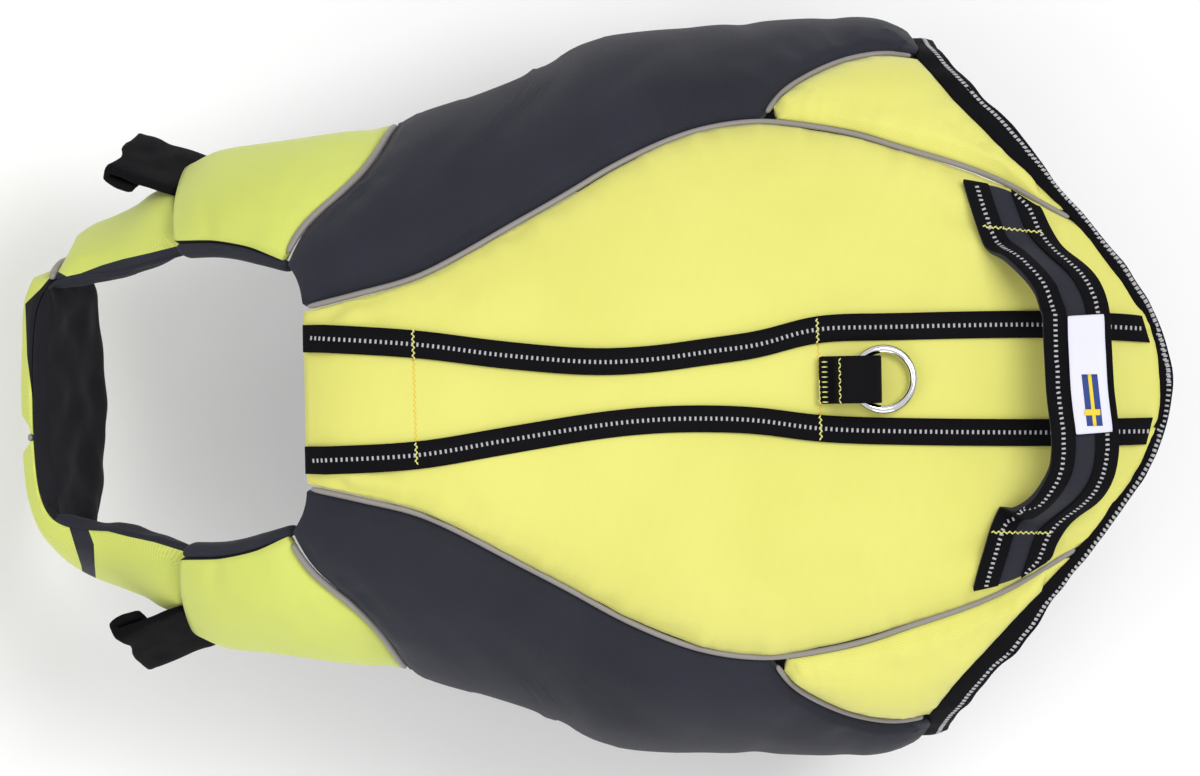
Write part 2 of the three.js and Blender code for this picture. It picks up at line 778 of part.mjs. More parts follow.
// Sides, rear sides, shoulders and belly flaps, the same on both sides of the body
const backMeets = fractionAt(backSeam, REAR_SIDE_SEAM[0].x - 2);
const legEnd = fractionAt(sideLower, SHOULDER_SEAM[0].x);
const hemEnd = hemInner[hemInner.length - 1];
const sideTop = cutLine(backSeam, 0, backMeets, 24);
const rearSeam = [sideTop[24], ...rearSideSeam.slice(1)];
const sideTopRear = stations(rearSeam, even(10));
const hemToLower = stations([hemEnd, [73, (hemEnd[1] + flapRear[0][1]) / 2], flapRear[0]], SIDE_ACROSS);
const sideBottom = cutLine(sideLower, legEnd, 1, 34);
const shoulderAcross = [0, 0.08, 0.22, 0.42, 0.62, 0.82, 1];
const shoulderRear = stations(shoulderSeam, shoulderAcross);
const neckCorner = stations(fromAbove(NECK_CORNER), [0, 0.35, 0.7, 1]);
shoulderRear[0] = sideBottom[0];
neckCorner[0] = shoulderRear[6];
neckCorner[3] = sideTop[0];
hemToLower[SIDE_ACROSS.length - 1] = sideBottom[34];
hemToLower[0] = sideTopRear[10];
const sidePattern = pattern([
  [edge(sideTop, PIPING_CUT, SEAM_HEIGHT), edge(sideTopRear, PIPING_CUT, SEAM_HEIGHT)],
  [edge(hemToLower, GAP, SEAM_HEIGHT)],
  [edge([...sideBottom].reverse(), GAP / 2, SEAM_HEIGHT)],
  [edge(shoulderRear, PIPING_CUT, SEAM_HEIGHT), edge(neckCorner, 0, SEAM_HEIGHT)],
], FOAM);

const noseTop = fractionAt(backSeam, REAR_SIDE_SEAM[0].x + 5);
const noseLow = fractionAt(rearSeam, REAR_SIDE_SEAM[0].x + 3);
const rearTop = cutLine(backSeam, noseTop, 1, 14);
const rearBottom = cutLine(rearSeam, noseLow, 1, 14);
const rearHem = cutLine(hemInner, hemBackFraction, 1, 6);
rearHem[0] = rearTop[14];
rearHem[6] = rearBottom[14];
const rearSidePattern = pattern([
  [edge(rearTop, PIPING_CUT, SEAM_HEIGHT)],
  [edge(rearHem, GAP, SEAM_HEIGHT)],
  [edge([...rearBottom].reverse(), PIPING_CUT, SEAM_HEIGHT)],
  [edge(stations([rearBottom[0], rearTop[0]], even(6)), GAP, SEAM_HEIGHT)],
], FOAM, REAR_SIDE_ROUNDING);

const shoulderTop = stations(fromAbove(SHOULDER_NECK_EDGE), even(8));
const shoulderFront = stations(fromAbove(SHOULDER_FRONT_EDGE), shoulderAcross);
const shoulderBottom = cutLine(sideLower, 0, legEnd, 8);
const shoulderBack = [...shoulderRear].reverse();
shoulderTop[0] = shoulderRear[6];
shoulderTop[8] = shoulderFront[0];
shoulderBottom[0] = shoulderFront[6];
shoulderBottom[8] = shoulderRear[0];
const shoulderPattern = pattern([
  [edge(shoulderTop, 0, SHOULDER_EDGE)],
  [edge(shoulderFront, 0, SHOULDER_EDGE)],
  [edge(shoulderBottom, 0, SEAM_HEIGHT)],
  [edge([...shoulderBack].reverse(), PIPING_CUT, SEAM_HEIGHT)],
], SHOULDER_FOAM);

const flapTop = sideBottom.filter(([x]) => x > BELLY_FRONT_EDGE[0].x);
const flapDown = stations([flapTop[0], ...flapFront.slice(1)], even(9));
const flapHem = stations(flapRear, even(9));
flapHem[0] = flapTop[flapTop.length - 1];
const flapEnd = stations([flapHem[9], flapDown[9]], even(flapTop.length - 1));
const flapPattern = pattern([
  [edge(flapTop, GAP / 2, SEAM_HEIGHT)],
  [edge(flapHem, GAP, BELLY_EDGE)],
  [edge(flapEnd, 0, BELLY_EDGE)],
  [edge([...flapDown].reverse(), 0, BELLY_EDGE)],
], BELLY_FOAM, BELLY_ROUNDING);

// The right belly flap passes over the left one, with the hook and loop strips between them
const overlapHeight = BELLY_FOAM + OVERLAP_ROOM;
const overlapLift = (girth) => {
  const start = girthAtAngle(0, OVERLAP_START_ANGLE);
  const full = girthAtAngle(0, OVERLAP_FULL_ANGLE);
  return overlapHeight * THREE.MathUtils.smoothstep(girth, start, full);
};
[1, -1].forEach((hand) => {
  const side = hand > 0 ? 'right' : 'left';
  bodyPanel(`side_${side}`, hand, sidePattern, GREY);
  bodyPanel(`rear_side_${side}`, hand, rearSidePattern, YELLOW);
  bodyPanel(`shoulder_${side}`, hand, shoulderPattern, DEEP_YELLOW);
  bodyPanel(`belly_flap_${side}`, hand, flapPattern, GREY, hand > 0 ? overlapLift : undefined);
});

// Hook and loop strips that close the belly, one on each flap
const bellyMiddle = girthAtAngle(0, 180);
const fastener = (name, low, finish) => {
  const line = even(8).map((t) => [(t - 0.5) * FASTENER_LENGTH, bellyMiddle]);
  const profile = [-1, -0.5, 0, 0.5, 1].map((side) => ({
    out: () => side * FASTENER_WIDTH / 2,
    low: () => low,
    high: () => low + FASTENER_THICKNESS,
  }));
  bodyTrim(name, 1, line, profile, finish);
};
fastener('belly_loop_strip', BELLY_FOAM + GAP, LINING);
fastener('belly_hook_strip', BELLY_FOAM + 2 * GAP + FASTENER_THICKNESS, WEBBING);

// Two tapes from the neck to the hem, over the seams of the centre strip
const hemPoints = stations(hemInner, even(200));
const hemAt = (girth) => {
  const index = hemPoints.findIndex((point) => point[1] >= Math.abs(girth));
  return hemPoints[Math.max(index, 0)][0];
};
[1, -1].forEach((hand) => {
  const line = stripSides[hand];
  const grid = (raise) => line.map(([x, girth]) => {
    const places = [-1, 0, 1].map((side) => {
      const around = girth + side * TAPE_WIDTH / 2;
      return [Math.min(x, hemAt(around) - 2 * GAP), hand * around];
    });
    const height = Math.max(...places.map((place) => backHeight(...place)));
    return [places[0], places[2]].map((place) => onBody(...place, height + raise));
  });
  const name = hand > 0 ? 'back_tape_right' : 'back_tape_left';
  add(name, wall(grid(GAP + TAPE_THICKNESS), grid(GAP)), WEBBING);
});

// Hem binding, wrapped round the rear edge from one belly flap over the tail to the other
{
  const half = [
    ...stations(hemInner, even(17)),
    ...stations([hemEnd, ...hemToLower.slice(1)], even(3)).slice(1),
    ...flapHem.slice(1),
  ];
  const line = [...half.slice(1).reverse().map(([x, girth]) => [x, -girth]), ...half];
  const rise = (girth) => (girth > 0 ? overlapLift(girth) : 0);
  const share = (x) => THREE.MathUtils.mapLinear(
    THREE.MathUtils.smoothstep(x, BINDING_FULL_X, BINDING_NARROW_X),
    0, 1, 1, BINDING_NARROW_SHARE,
  );
  const profile = BINDING_PROFILE.map((row) => ({
    out: (x) => -(GAP + row.out * share(x)),
    low: (girth) => row.low + rise(girth),
    high: (girth) => row.high + rise(girth),
  }));
  bodyTrim('hem_binding', 1, line, profile, WEBBING);
}

// Piping in the seams
[1, -1].forEach((hand) => {
  const side = hand > 0 ? 'right' : 'left';
  const raised = (points) => points.map(([x, girth]) => onBody(x, hand * girth, SEAM_HEIGHT));
  const inBackSeam = stations(backSeam, [
    BACK_PIPING.from, ...even(BACK_ROWS).slice(1, -1), BACK_PIPING.to,
  ]);
  const inShoulderSeam = stations(shoulderSeam, [
    SHOULDER_PIPING.from, ...shoulderAcross.slice(1, -1), SHOULDER_PIPING.to,
  ]);
  piping(`back_piping_${side}`, raised(inBackSeam), PIPING);
  piping(`rear_piping_${side}`, raised(cutLine(rearSeam, REAR_PIPING.from, REAR_PIPING.to, 12)), PIPING);
  piping(`shoulder_piping_${side}`, raised(inShoulderSeam), PIPING);
});

// The collar's padded ring: its middle surface is a strip from the right shoulder,
// over the chest, to the left shoulder
const collarRows = [...COLLAR, ...COLLAR.slice(0, -1).reverse().map((row) => ({
  ...row,
  upper_y: -row.upper_y,
  lower_y: -row.lower_y,
}))];
collarRows.forEach((row, k) => {
  const upper = new THREE.Vector3(row.upper_x, row.upper_y, row.upper_z);
  const lower = new THREE.Vector3(row.lower_x, row.lower_y, row.lower_z);
  row.middle = upper.lerp(lower, 0.5);
  row.along = k === 0 ? 0 : collarRows[k - 1].along + row.middle.distanceTo(collarRows[k - 1].middle);
});
const collarEnd = collarRows[collarRows.length - 1].along;
const collarColumn = (name, along) => new THREE.Vector3(
  readTable(collarRows, 'along', `${name}_x`, along),
  readTable(collarRows, 'along', `${name}_y`, along),
  readTable(collarRows, 'along', `${name}_z`, along),
);
const collarWidth = (along) => collarColumn('upper', along).distanceTo(collarColumn('lower', along));
function collarSkin(along, down) {
  const part = down / collarWidth(along);
  return collarColumn('upper', along).lerp(collarColumn('lower', along), part);
}
function onCollar(along, down, height) {
  const forward = collarSkin(along + 1, down).sub(collarSkin(along - 1, down));
  const across = collarSkin(along, down + 1).sub(collarSkin(along, down - 1));
  const out = across.cross(forward).normalize();
  const part = down / collarWidth(along);
  const crown = readTable(collarRows, 'along', 'crown', along) * 4 * part * (1 - part);
  return collarSkin(along, down).addScaledVector(out, height + crown);
}
function collarAt(y) {
  const steps = even(400).map((t) => t * collarEnd);
  return steps.find((along) => collarColumn('upper', along).y <= y);
}
function collarPattern(from, to, middle, cutFrom, cutTo, thinStart, thinEnd) {
  const inside = even(COLLAR_STEPS).map((t) => t * collarEnd);
  const clear = collarEnd / COLLAR_STEPS / 2;
  const long = [from, ...inside.filter((along) => along > from + clear && along < to - clear), to];
  const across = [0, 0.07, 0.2, 0.4, 0.6, 0.8, 0.93, 1];
  const side = (along) => across.map((t) => [along, t * collarWidth(along)]);
  return pattern([
    [edge(long.map((along) => [along, 0]), 0, COLLAR_EDGE)],
    [edge(side(to), cutTo, COLLAR_EDGE, thinEnd)],
    [edge(long.map((along) => [along, collarWidth(along)]).reverse(), 0, COLLAR_EDGE)],
    [edge(side(from).reverse(), cutFrom, COLLAR_EDGE, thinStart)],
  ], middle, COLLAR_ROUNDING);
}
function collarPiece(name, { grid, height }, facing, finish) {
  const layer = (raise) => grid.map((row) => (
    row.map((place) => onCollar(place[0], place[1], facing * raise(place)))
  ));
  add(name, wall(layer(height), layer(() => COLLAR_SPLIT)), finish);
}
const seamRight = collarAt(CHEST_SEAM_RIGHT_Y);
const seamLeft = collarAt(CHEST_SEAM_LEFT_Y);
const liningRight = collarAt(CHEST_LINING_Y);
const liningLeft = collarAt(-CHEST_LINING_Y);
const outerPiece = (name, from, to, cuts, thin, finish) => {
  collarPiece(name, collarPattern(from, to, COLLAR_OUTER, ...cuts, ...thin), 1, finish);
};
const liningPiece = (name, from, to, thin) => {
  collarPiece(name, collarPattern(from, to, COLLAR_LINING, GAP / 2, GAP / 2, ...thin), -1, LINING);
};
outerPiece('collar_arm_right', 0, seamRight, [0, PIPING_CUT], [4, 0], DEEP_YELLOW);
outerPiece('chest_front', seamRight, seamLeft, [PIPING_CUT, PIPING_CUT], [0, 0], DEEP_YELLOW);
outerPiece('collar_arm_left', seamLeft, collarEnd, [PIPING_CUT, 0], [0, 4], DEEP_YELLOW);
liningPiece('arm_lining_right', 0, liningRight, [4, 0]);
liningPiece('chest_lining', liningRight, liningLeft, [0, 0]);
liningPiece('arm_lining_left', liningLeft, collarEnd, [0, 4]);
[['chest_piping_right', seamRight], ['chest_piping_left', seamLeft]].forEach(([name, along]) => {
  const width = collarWidth(along);
  const rise = PIPING_RADIUS + GAP;
  piping(name, even(8).map((t) => onCollar(
    along, width * THREE.MathUtils.lerp(CHEST_PIPING.from, CHEST_PIPING.to, t), rise,
  )), PIPING);
});

// Neck facing: a soft roll along the inside of each shoulder's neck edge
[1, -1].forEach((hand) => {
  const rings = shoulderPattern.grid[0].map(([x, girth], k, row) => {
    const high = onBody(x, hand * girth, shoulderPattern.height([x, girth]));
    const low = onBody(x, hand * girth, 0);
    const before = row[Math.max(k - 1, 0)];
    const after = row[Math.min(k + 1, row.length - 1)];
    const path = onBody(after[0], hand * after[1], 0).sub(onBody(before[0], hand * before[1], 0));
    const inward = new THREE.Vector3(-path.y, path.x, 0).normalize().multiplyScalar(hand);
    const face = low.clone().sub(high);
    return FACING_PROFILE.map((point) => high.clone()
      .addScaledVector(inward, point.inward)
      .addScaledVector(face, point.down));
  });
  add(hand > 0 ? 'neck_facing_right' : 'neck_facing_left', sweep(rings), LINING);
});

// The handle: a strap stitched down at both ends and standing off between them.
// Its points are given by how far along, across and above its underside they lie
const handleStart = HANDLE[0].y;
const handleEnd = HANDLE[HANDLE.length - 1].y;
const seamPoints = cutLine(backSeam, 0, 1, 200);
const seamGirthAt = (x) => {
  const index = seamPoints.findIndex((point) => point[0] >= x);
  return seamPoints[Math.max(index, 0)][1];
};
function handleCentre(y) {
  const x = readTable(HANDLE, 'y', 'x', y);
  const girth = Math.sign(y) * girthAt(x, Math.abs(y), FOAM);
  return { x, girth, lift: readTable(HANDLE, 'y', 'lift', y), tilt: readTable(HANDLE, 'y', 'tilt', y) };
}
function handleReach(y, across) {
  const part = (Math.abs(y) - HANDLE_STITCHED_Y) / (handleEnd - HANDLE_STITCHED_Y);
  const endX = readTable(HANDLE, 'y', 'x', Math.sign(y) * handleEnd) + across;
  const end = readTable(BACK_SEAM, 'x', 'y', endX) - HANDLE_END_ROOM;
  return Math.sign(y) * THREE.MathUtils.lerp(HANDLE_STITCHED_Y, end, part);
}
function handlePoint(row, across, height) {
  const y = Math.abs(row) > HANDLE_STITCHED_Y ? handleReach(row, across) : row;
  const { x, girth, lift, tilt } = handleCentre(y);
  const ahead = handleCentre(y + 0.5);
  const behind = handleCentre(y - 0.5);
  const [dx, dg] = [ahead.x - behind.x, ahead.girth - behind.girth];
  const length = Math.hypot(dx, dg);
  const place = [x + across * dg / length, girth - across * dx / length];
  const limit = seamGirthAt(place[0]) - 2 * PIPING_CUT;
  place[1] = THREE.MathUtils.clamp(place[1], -limit, limit);
  const lying = onBody(place[0], place[1], backHeight(...place) + HANDLE_SEAT + height);
  const rise = (spot) => onBody(spot.x, spot.girth, backHeight(spot.x, spot.girth) + HANDLE_SEAT + spot.lift);
  const path = rise(ahead).sub(rise(behind)).normalize();
  const side = new THREE.Vector3(1, 0, 0).addScaledVector(path, -path.x).normalize();
  const up = side.clone().cross(path).normalize();
  const angle = THREE.MathUtils.degToRad(tilt);
  const turned = side.clone().multiplyScalar(Math.cos(angle)).addScaledVector(up, -Math.sin(angle));
  const above = up.clone().multiplyScalar(Math.cos(angle)).addScaledVector(side, Math.sin(angle));
  const standing = rise({ x, girth, lift }).addScaledVector(turned, across).addScaledVector(above, height);
  return lying.lerp(standing, THREE.MathUtils.smoothstep(lift, 0, 5));
}
function handlePiece(name, from, to, steps, columns, low, high, finish) {
  const rows = even(steps).map((t) => THREE.MathUtils.lerp(from, to, t));
  const layer = (height) => rows.map((y) => columns.map((across) => handlePoint(y, across, height)));
  add(name, wall(layer(high), layer(low)), finish);
}
const half = HANDLE_WIDTH / 2;
const taped = half - HANDLE_TAPE_WIDTH;
handlePiece('handle_strap', handleStart, handleEnd, HANDLE_STEPS, [-half, -taped, taped, half],
  0, HANDLE_THICKNESS, GREY);
const tapeLow = HANDLE_THICKNESS + GAP;
const tapeHigh = tapeLow + HANDLE_TAPE_THICKNESS;
handlePiece('handle_tape_front', handleStart, handleEnd, HANDLE_STEPS, [-half, -half + HANDLE_TAPE_WIDTH],
  tapeLow, tapeHigh, WEBBING);
handlePiece('handle_tape_rear', handleStart, handleEnd, HANDLE_STEPS, [half - HANDLE_TAPE_WIDTH, half],
  tapeLow, tapeHigh, WEBBING);
handlePiece('handle_label', LABEL_MIDDLE_Y - LABEL_LENGTH / 2, LABEL_MIDDLE_Y + LABEL_LENGTH / 2, 12,
  [LABEL_ACROSS - LABEL_WIDTH / 2, LABEL_ACROSS, LABEL_ACROSS + LABEL_WIDTH / 2],
  tapeHigh + GAP, tapeHigh + GAP + LABEL_THICKNESS, LABEL);

// The leash loop is folded webbing that arches over the ring's wire, so that the ring can swing
const ringSide = readTable(CENTRE_STRIP, 'x', 'drift', RING_CENTRE);
const loopSurface = (x) => onBody(x, ringSide, backHeight(x, ringSide)).z;
const pivotX = RING_CENTRE - RING_RADIUS;
const loopUnder = loopSurface(pivotX) + LOOP_SEAT + LOOP_THICKNESS / 2;
const pivotZ = loopUnder + LOOP_THICKNESS / 2 + WIRE_CLEARANCE + RING_WIRE;
{
  const arch = even(14).map((t) => THREE.MathUtils.degToRad(THREE.MathUtils.lerp(ARCH_START, ARCH_END, t)));
  const upper = loopUnder + LOOP_THICKNESS + GAP;
  const middle = [
    [LOOP_START, loopUnder],
    [LOOP_START + ARCH_RADIUS, loopUnder],
    ...LOOP_TURN.map(({ back, rise }) => [pivotX + ARCH_RADIUS - back, loopUnder + rise]),
    ...arch.map((angle) => [pivotX + ARCH_RADIUS * Math.cos(angle), pivotZ + ARCH_RADIUS * Math.sin(angle)]),
    ...LOOP_FALL.map(({ along, rise }) => [LOOP_START + along, upper + rise]),
    [LOOP_START, upper],
  ];
  const layer = (offset) => middle.map(([x, z], k) => {
    const before = middle[Math.max(k - 1, 0)];
    const after = middle[Math.min(k + 1, middle.length - 1)];
    const length = Math.hypot(after[0] - before[0], after[1] - before[1]);
    const [out, up] = [(after[1] - before[1]) / length, (before[0] - after[0]) / length];
    return [-1, 1].map((side) => new THREE.Vector3(
      x + out * offset,
      ringSide + side * LOOP_WIDTH / 2,
      z + up * offset,
    ));
  });
  add('leash_loop', wall(layer(LOOP_THICKNESS / 2), layer(-LOOP_THICKNESS / 2)), WEBBING);
}
{
  const ring = new THREE.TorusGeometry(RING_RADIUS, RING_WIRE, 6, 26);
  ring.translate(RING_RADIUS, 0, 0);
  ring.rotateY(THREE.MathUtils.degToRad(RING_DROOP));
  ring.translate(pivotX, ringSide, pivotZ);
  add('leash_ring', ring, STEEL);
}

// Strap tabs: the ends of the collar's straps, curled up in front of each shoulder
[1, -1].forEach((hand) => {
  const place = (part) => {
    const [x, girth] = stations(shoulderFront, [part])[0];
    return onBody(x, hand * girth, SEAM_HEIGHT + 1);
  };
  const [near, far] = [place(TAB_FROM), place(TAB_TO)];
  const width = far.clone().sub(near).normalize();
  const forward = new THREE.Vector3(-1, TAB_SPLAY * hand, TAB_FALL);
  forward.addScaledVector(width, -forward.dot(width)).normalize();
  const off = forward.clone().cross(width).multiplyScalar(-hand).normalize();
  const middle = near.clone().lerp(far, 0.5);
  const layer = (offset) => TAB.map((row, k) => {
    const before = TAB[Math.max(k - 1, 0)];
    const after = TAB[Math.min(k + 1, TAB.length - 1)];
    const length = Math.hypot(after.along - before.along, after.off - before.off);
    const along = row.along - offset * (after.off - before.off) / length;
    const away = row.off + offset * (after.along - before.along) / length;
    return [-0.5, 0.5].map((side) => middle.clone()
      .addScaledVector(width, side * TAB_WIDTH)
      .addScaledVector(forward, along)
      .addScaledVector(off, away));
  });
  const name = hand > 0 ? 'strap_tab_right' : 'strap_tab_left';
  add(name, wall(layer(TAB_THICKNESS / 2), layer(-TAB_THICKNESS / 2)), WEBBING);
});

export default jacket;
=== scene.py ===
import math

import bmesh
import bpy
from mathutils import Matrix, Vector, noise
from mathutils.bvhtree import BVHTree


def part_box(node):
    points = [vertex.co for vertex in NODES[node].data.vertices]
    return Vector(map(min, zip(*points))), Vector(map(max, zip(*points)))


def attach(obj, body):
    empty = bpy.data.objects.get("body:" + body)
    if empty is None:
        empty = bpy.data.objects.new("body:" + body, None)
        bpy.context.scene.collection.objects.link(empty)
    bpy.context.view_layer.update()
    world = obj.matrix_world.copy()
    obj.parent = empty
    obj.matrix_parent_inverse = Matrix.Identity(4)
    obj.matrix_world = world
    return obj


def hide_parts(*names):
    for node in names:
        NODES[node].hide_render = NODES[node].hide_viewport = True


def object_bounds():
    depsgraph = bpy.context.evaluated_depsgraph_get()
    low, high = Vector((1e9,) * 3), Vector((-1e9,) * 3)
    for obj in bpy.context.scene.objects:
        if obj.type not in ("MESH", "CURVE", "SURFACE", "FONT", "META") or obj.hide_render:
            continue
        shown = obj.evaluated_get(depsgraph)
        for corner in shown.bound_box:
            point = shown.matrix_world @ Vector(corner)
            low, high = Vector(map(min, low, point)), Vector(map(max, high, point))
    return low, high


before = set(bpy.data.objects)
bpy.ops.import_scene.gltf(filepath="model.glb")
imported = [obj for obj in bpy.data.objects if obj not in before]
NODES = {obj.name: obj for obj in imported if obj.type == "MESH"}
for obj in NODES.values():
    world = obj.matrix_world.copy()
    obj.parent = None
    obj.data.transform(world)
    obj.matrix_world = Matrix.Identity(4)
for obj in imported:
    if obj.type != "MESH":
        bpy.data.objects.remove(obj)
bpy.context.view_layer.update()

MM = 0.001
BODY_AXIS_Z = -100 * MM
BODY_RADIUS = 130 * MM
NECK_MIDDLE_X = -190 * MM
NECK_RADIUS = 90 * MM
JACKET = "jacket"

# The middle of each tape: half the width of the strip between them, and its drift to the right
CENTRE_STRIP = (
    dict(x=-181, half_width=25.8, drift=-0.6), dict(x=-136, half_width=23.2, drift=-1.6),
    dict(x=-99, half_width=17.9, drift=-1.5), dict(x=-62, half_width=13.5, drift=-0.6),
    dict(x=-37, half_width=12.7, drift=0.8), dict(x=-12, half_width=14.1, drift=2.3),
    dict(x=8, half_width=16, drift=2.9), dict(x=32, half_width=20.6, drift=4),
    dict(x=62, half_width=21.8, drift=3.4), dict(x=127, half_width=22.6, drift=2.4),
    dict(x=176, half_width=21.3, drift=0.8),
)

# Soft creases, in millimetres: middle x, girth out from the spine, turn in degrees from the
# spine's direction, length, width, and depth (a ridge where it is below zero)
BACK_CREASES = (
    dict(x=104, out=86, turn=-38, length=34, width=4.5, depth=-2.2),
    dict(x=96, out=79, turn=-30, length=30, width=4, depth=1.6),
    dict(x=118, out=62, turn=70, length=26, width=5, depth=1.1),
    dict(x=84, out=60, turn=62, length=30, width=6, depth=0.9),
    dict(x=-168, out=44, turn=20, length=22, width=3.5, depth=1.2),
    dict(x=-150, out=36, turn=12, length=30, width=4.5, depth=0.9),
    dict(x=-118, out=48, turn=34, length=34, width=6, depth=0.8),
    dict(x=-40, out=70, turn=48, length=60, width=11, depth=0.9),
    dict(x=30, out=88, turn=-18, length=66, width=10, depth=0.8),
    dict(x=38, out=44, turn=-6, length=70, width=9, depth=0.7),
    dict(x=-8, out=34, turn=14, length=52, width=8, depth=-0.7),
    dict(x=146, out=32, turn=-58, length=26, width=4, depth=1.1),
)
SIDE_CREASES = (
    dict(x=-160, out=104, turn=40, length=40, width=6, depth=1.4),
    dict(x=-128, out=118, turn=46, length=50, width=7, depth=1.2),
    dict(x=-96, out=132, turn=38, length=56, width=7, depth=1.4),
    dict(x=-70, out=176, turn=70, length=48, width=6, depth=1.3),
    dict(x=-48, out=150, turn=30, length=60, width=8, depth=1.0),
    dict(x=-20, out=172, turn=84, length=52, width=7, depth=1.1),
    dict(x=6, out=190, turn=88, length=40, width=6, depth=1.2),
    dict(x=20, out=162, turn=16, length=60, width=8, depth=0.9),
    dict(x=42, out=186, turn=80, length=38, width=6, depth=1.1),
)
REAR_CREASES = (
    dict(x=96, out=118, turn=-52, length=30, width=4, depth=1.2),
    dict(x=84, out=104, turn=-24, length=34, width=4.5, depth=-1.2),
    dict(x=62, out=128, turn=-10, length=34, width=5, depth=0.9),
    dict(x=40, out=126, turn=10, length=26, width=5, depth=0.7),
)
SHOULDER_CREASES = (
    dict(x=-222, out=112, turn=84, length=50, width=2.6, depth=0.9),
    dict(x=-205, out=96, turn=70, length=40, width=6, depth=0.9),
    dict(x=-186, out=118, turn=58, length=36, width=6, depth=0.9),
    dict(x=-170, out=138, turn=30, length=36, width=6, depth=0.8),
)
FLAP_CREASES = (
    dict(x=-50, out=262, turn=8, length=70, width=7, depth=1.0),
    dict(x=-10, out=284, turn=80, length=70, width=8, depth=0.9),
    dict(x=30, out=250, turn=72, length=60, width=8, depth=0.9),
    dict(x=46, out=300, turn=10, length=60, width=6, depth=0.8),
)


# Tables and lines

def smooth_line(points, steps=40):
    """A smooth line through points, with several steps between each two."""
    line = []
    last = len(points) - 1
    for k in range(last):
        a, b, c, d = (points[min(max(k + j, 0), last)] for j in (-1, 0, 1, 2))
        for step in range(steps):
            t = step / steps
            line.append(0.5 * (2 * b + (c - a) * t + (2 * a - 5 * b + 4 * c - d) * t ** 2
                               + (3 * b - a - 3 * c + d) * t ** 3))
    line.append(points[last].copy())
    return line


SAME_PLACE = 0.0001 * MM
LONGEST_STEP = 12 * MM


def stops_along(places, pitch, start=0.0):
    """Places at an even pitch along a line of (point, normal): each gives point, normal and direction."""
    stops = []
    due = start
    walked = 0.0
    for (here, normal), (there, normal_there) in zip(places, places[1:]):
        step = there - here
        if step.length < SAME_PLACE:
            continue
        if step.length > LONGEST_STEP:
            due = walked
            continue
        while due <= walked + step.length:
            share = (due - walked) / step.length
            facing = normal.lerp(normal_there, share).normalized()
            stops.append((here + step * share, facing, step.normalized()))
            due += pitch
        walked += step.length
    return stops


# A line that meets an edge can slip through, so it is tried once more beside it
BESIDE_AN_EDGE = 0.05 * MM
ABOVE_ALL = 0.4
OUTSIDE_ALL = 0.5


class Surface:
    """The skin of finished pieces, found by shooting a line at it."""

    def __init__(self, *pieces):
        points = []
        faces = []
        for piece in pieces:
            base = len(points)
            points.extend(vertex.co.copy() for vertex in piece.data.vertices)
            faces.extend([base + k for k in face.vertices] for face in piece.data.polygons)
        self.tree = BVHTree.FromPolygons(points, faces)

    def below(self, x, y):
        """The first point met straight down from above, with its normal."""
        for aside in (0, BESIDE_AN_EDGE):
            start = Vector((x + aside, y + aside * 0.7, ABOVE_ALL))
            point, normal, _, _ = self.tree.ray_cast(start, Vector((0, 0, -1)))
            if point:
                return point, normal
        return None

    def around(self, x, degrees):
        """The first point met from outside towards the body's axis."""
        turn = math.radians(degrees)
        out = Vector((0, math.sin(turn), math.cos(turn)))
        start = Vector((x, 0, BODY_AXIS_Z)) + out * OUTSIDE_ALL
        point, normal, _, _ = self.tree.ray_cast(start, -out)
        return (point, normal) if point else None

    def nearest(self, point):
        place, normal, _, distance = self.tree.find_nearest(point)
        return place, normal, distance


def seen_from_above(surface, points):
    """Where a line given as (x, y) in millimetres lies on a surface."""
    line = smooth_line([Vector((x * MM, y * MM, 0)) for x, y in points])
    places = [surface.below(point.x, point.y) for point in line]
    return [place for place in places if place]


# Forms

SAME_CORNER = 0.01 * MM
JOINED_UP_TO = math.radians(60)


def node_form(name):
    """A copy of a node's form, with its triangles joined back into four-sided faces."""
    form = bmesh.new()
    form.from_mesh(NODES[name].data)
    bmesh.ops.remove_doubles(form, verts=form.verts, dist=SAME_CORNER)
    bmesh.ops.join_triangles(
        form, faces=form.faces, angle_face_threshold=JOINED_UP_TO, angle_shape_threshold=JOINED_UP_TO)
    return form


def finish_form(form, name, material):
    """Turns a form into a piece of the scene."""
    mesh = bpy.data.meshes.new(name)
    form.to_mesh(mesh)
    form.free()
    piece = bpy.data.objects.new(name, mesh)
    bpy.context.scene.collection.objects.link(piece)
    mesh.materials.append(material)
    for face in mesh.polygons:
        face.use_smooth = True
    return piece


# A face whose normal keeps this share of the way out is open cloth and no rim
OPEN_CLOTH = 0.75
SHARP_ANGLE = math.radians(27)


def round_off(piece, levels, firm=0.0, out=None):
    """Rounds a piece by subdivision. Firm is how well its sharp edges keep their place. Edges
    between two faces that both look out from the body stay soft."""
    form = bmesh.new()
    form.from_mesh(piece.data)
    crease = form.edges.layers.float.new("crease_edge")
    for edge in form.edges:
        if len(edge.link_faces) != 2 or edge.calc_face_angle(0) < SHARP_ANGLE:
            continue
        away = out(edge.verts[0].co) if out else None
        if away is None or min(face.normal.dot(away) for face in edge.link_faces) < OPEN_CLOTH:
            edge[crease] = firm
    form.to_mesh(piece.data)
    form.free()
    rounding = piece.modifiers.new("rounding", "SUBSURF")
    rounding.levels = levels
    rounding.render_levels = levels
    depsgraph = bpy.context.evaluated_depsgraph_get()
    settled = bpy.data.meshes.new_from_object(piece.evaluated_get(depsgraph))
    piece.modifiers.clear()
    old = piece.data
    piece.data = settled
    settled.name = piece.name
    bpy.data.meshes.remove(old)
    for face in settled.polygons:
        face.use_smooth = True


def body_out(point):
    """The direction away from the body's axis."""
    return Vector((0, point.y, point.z - BODY_AXIS_Z)).normalized()


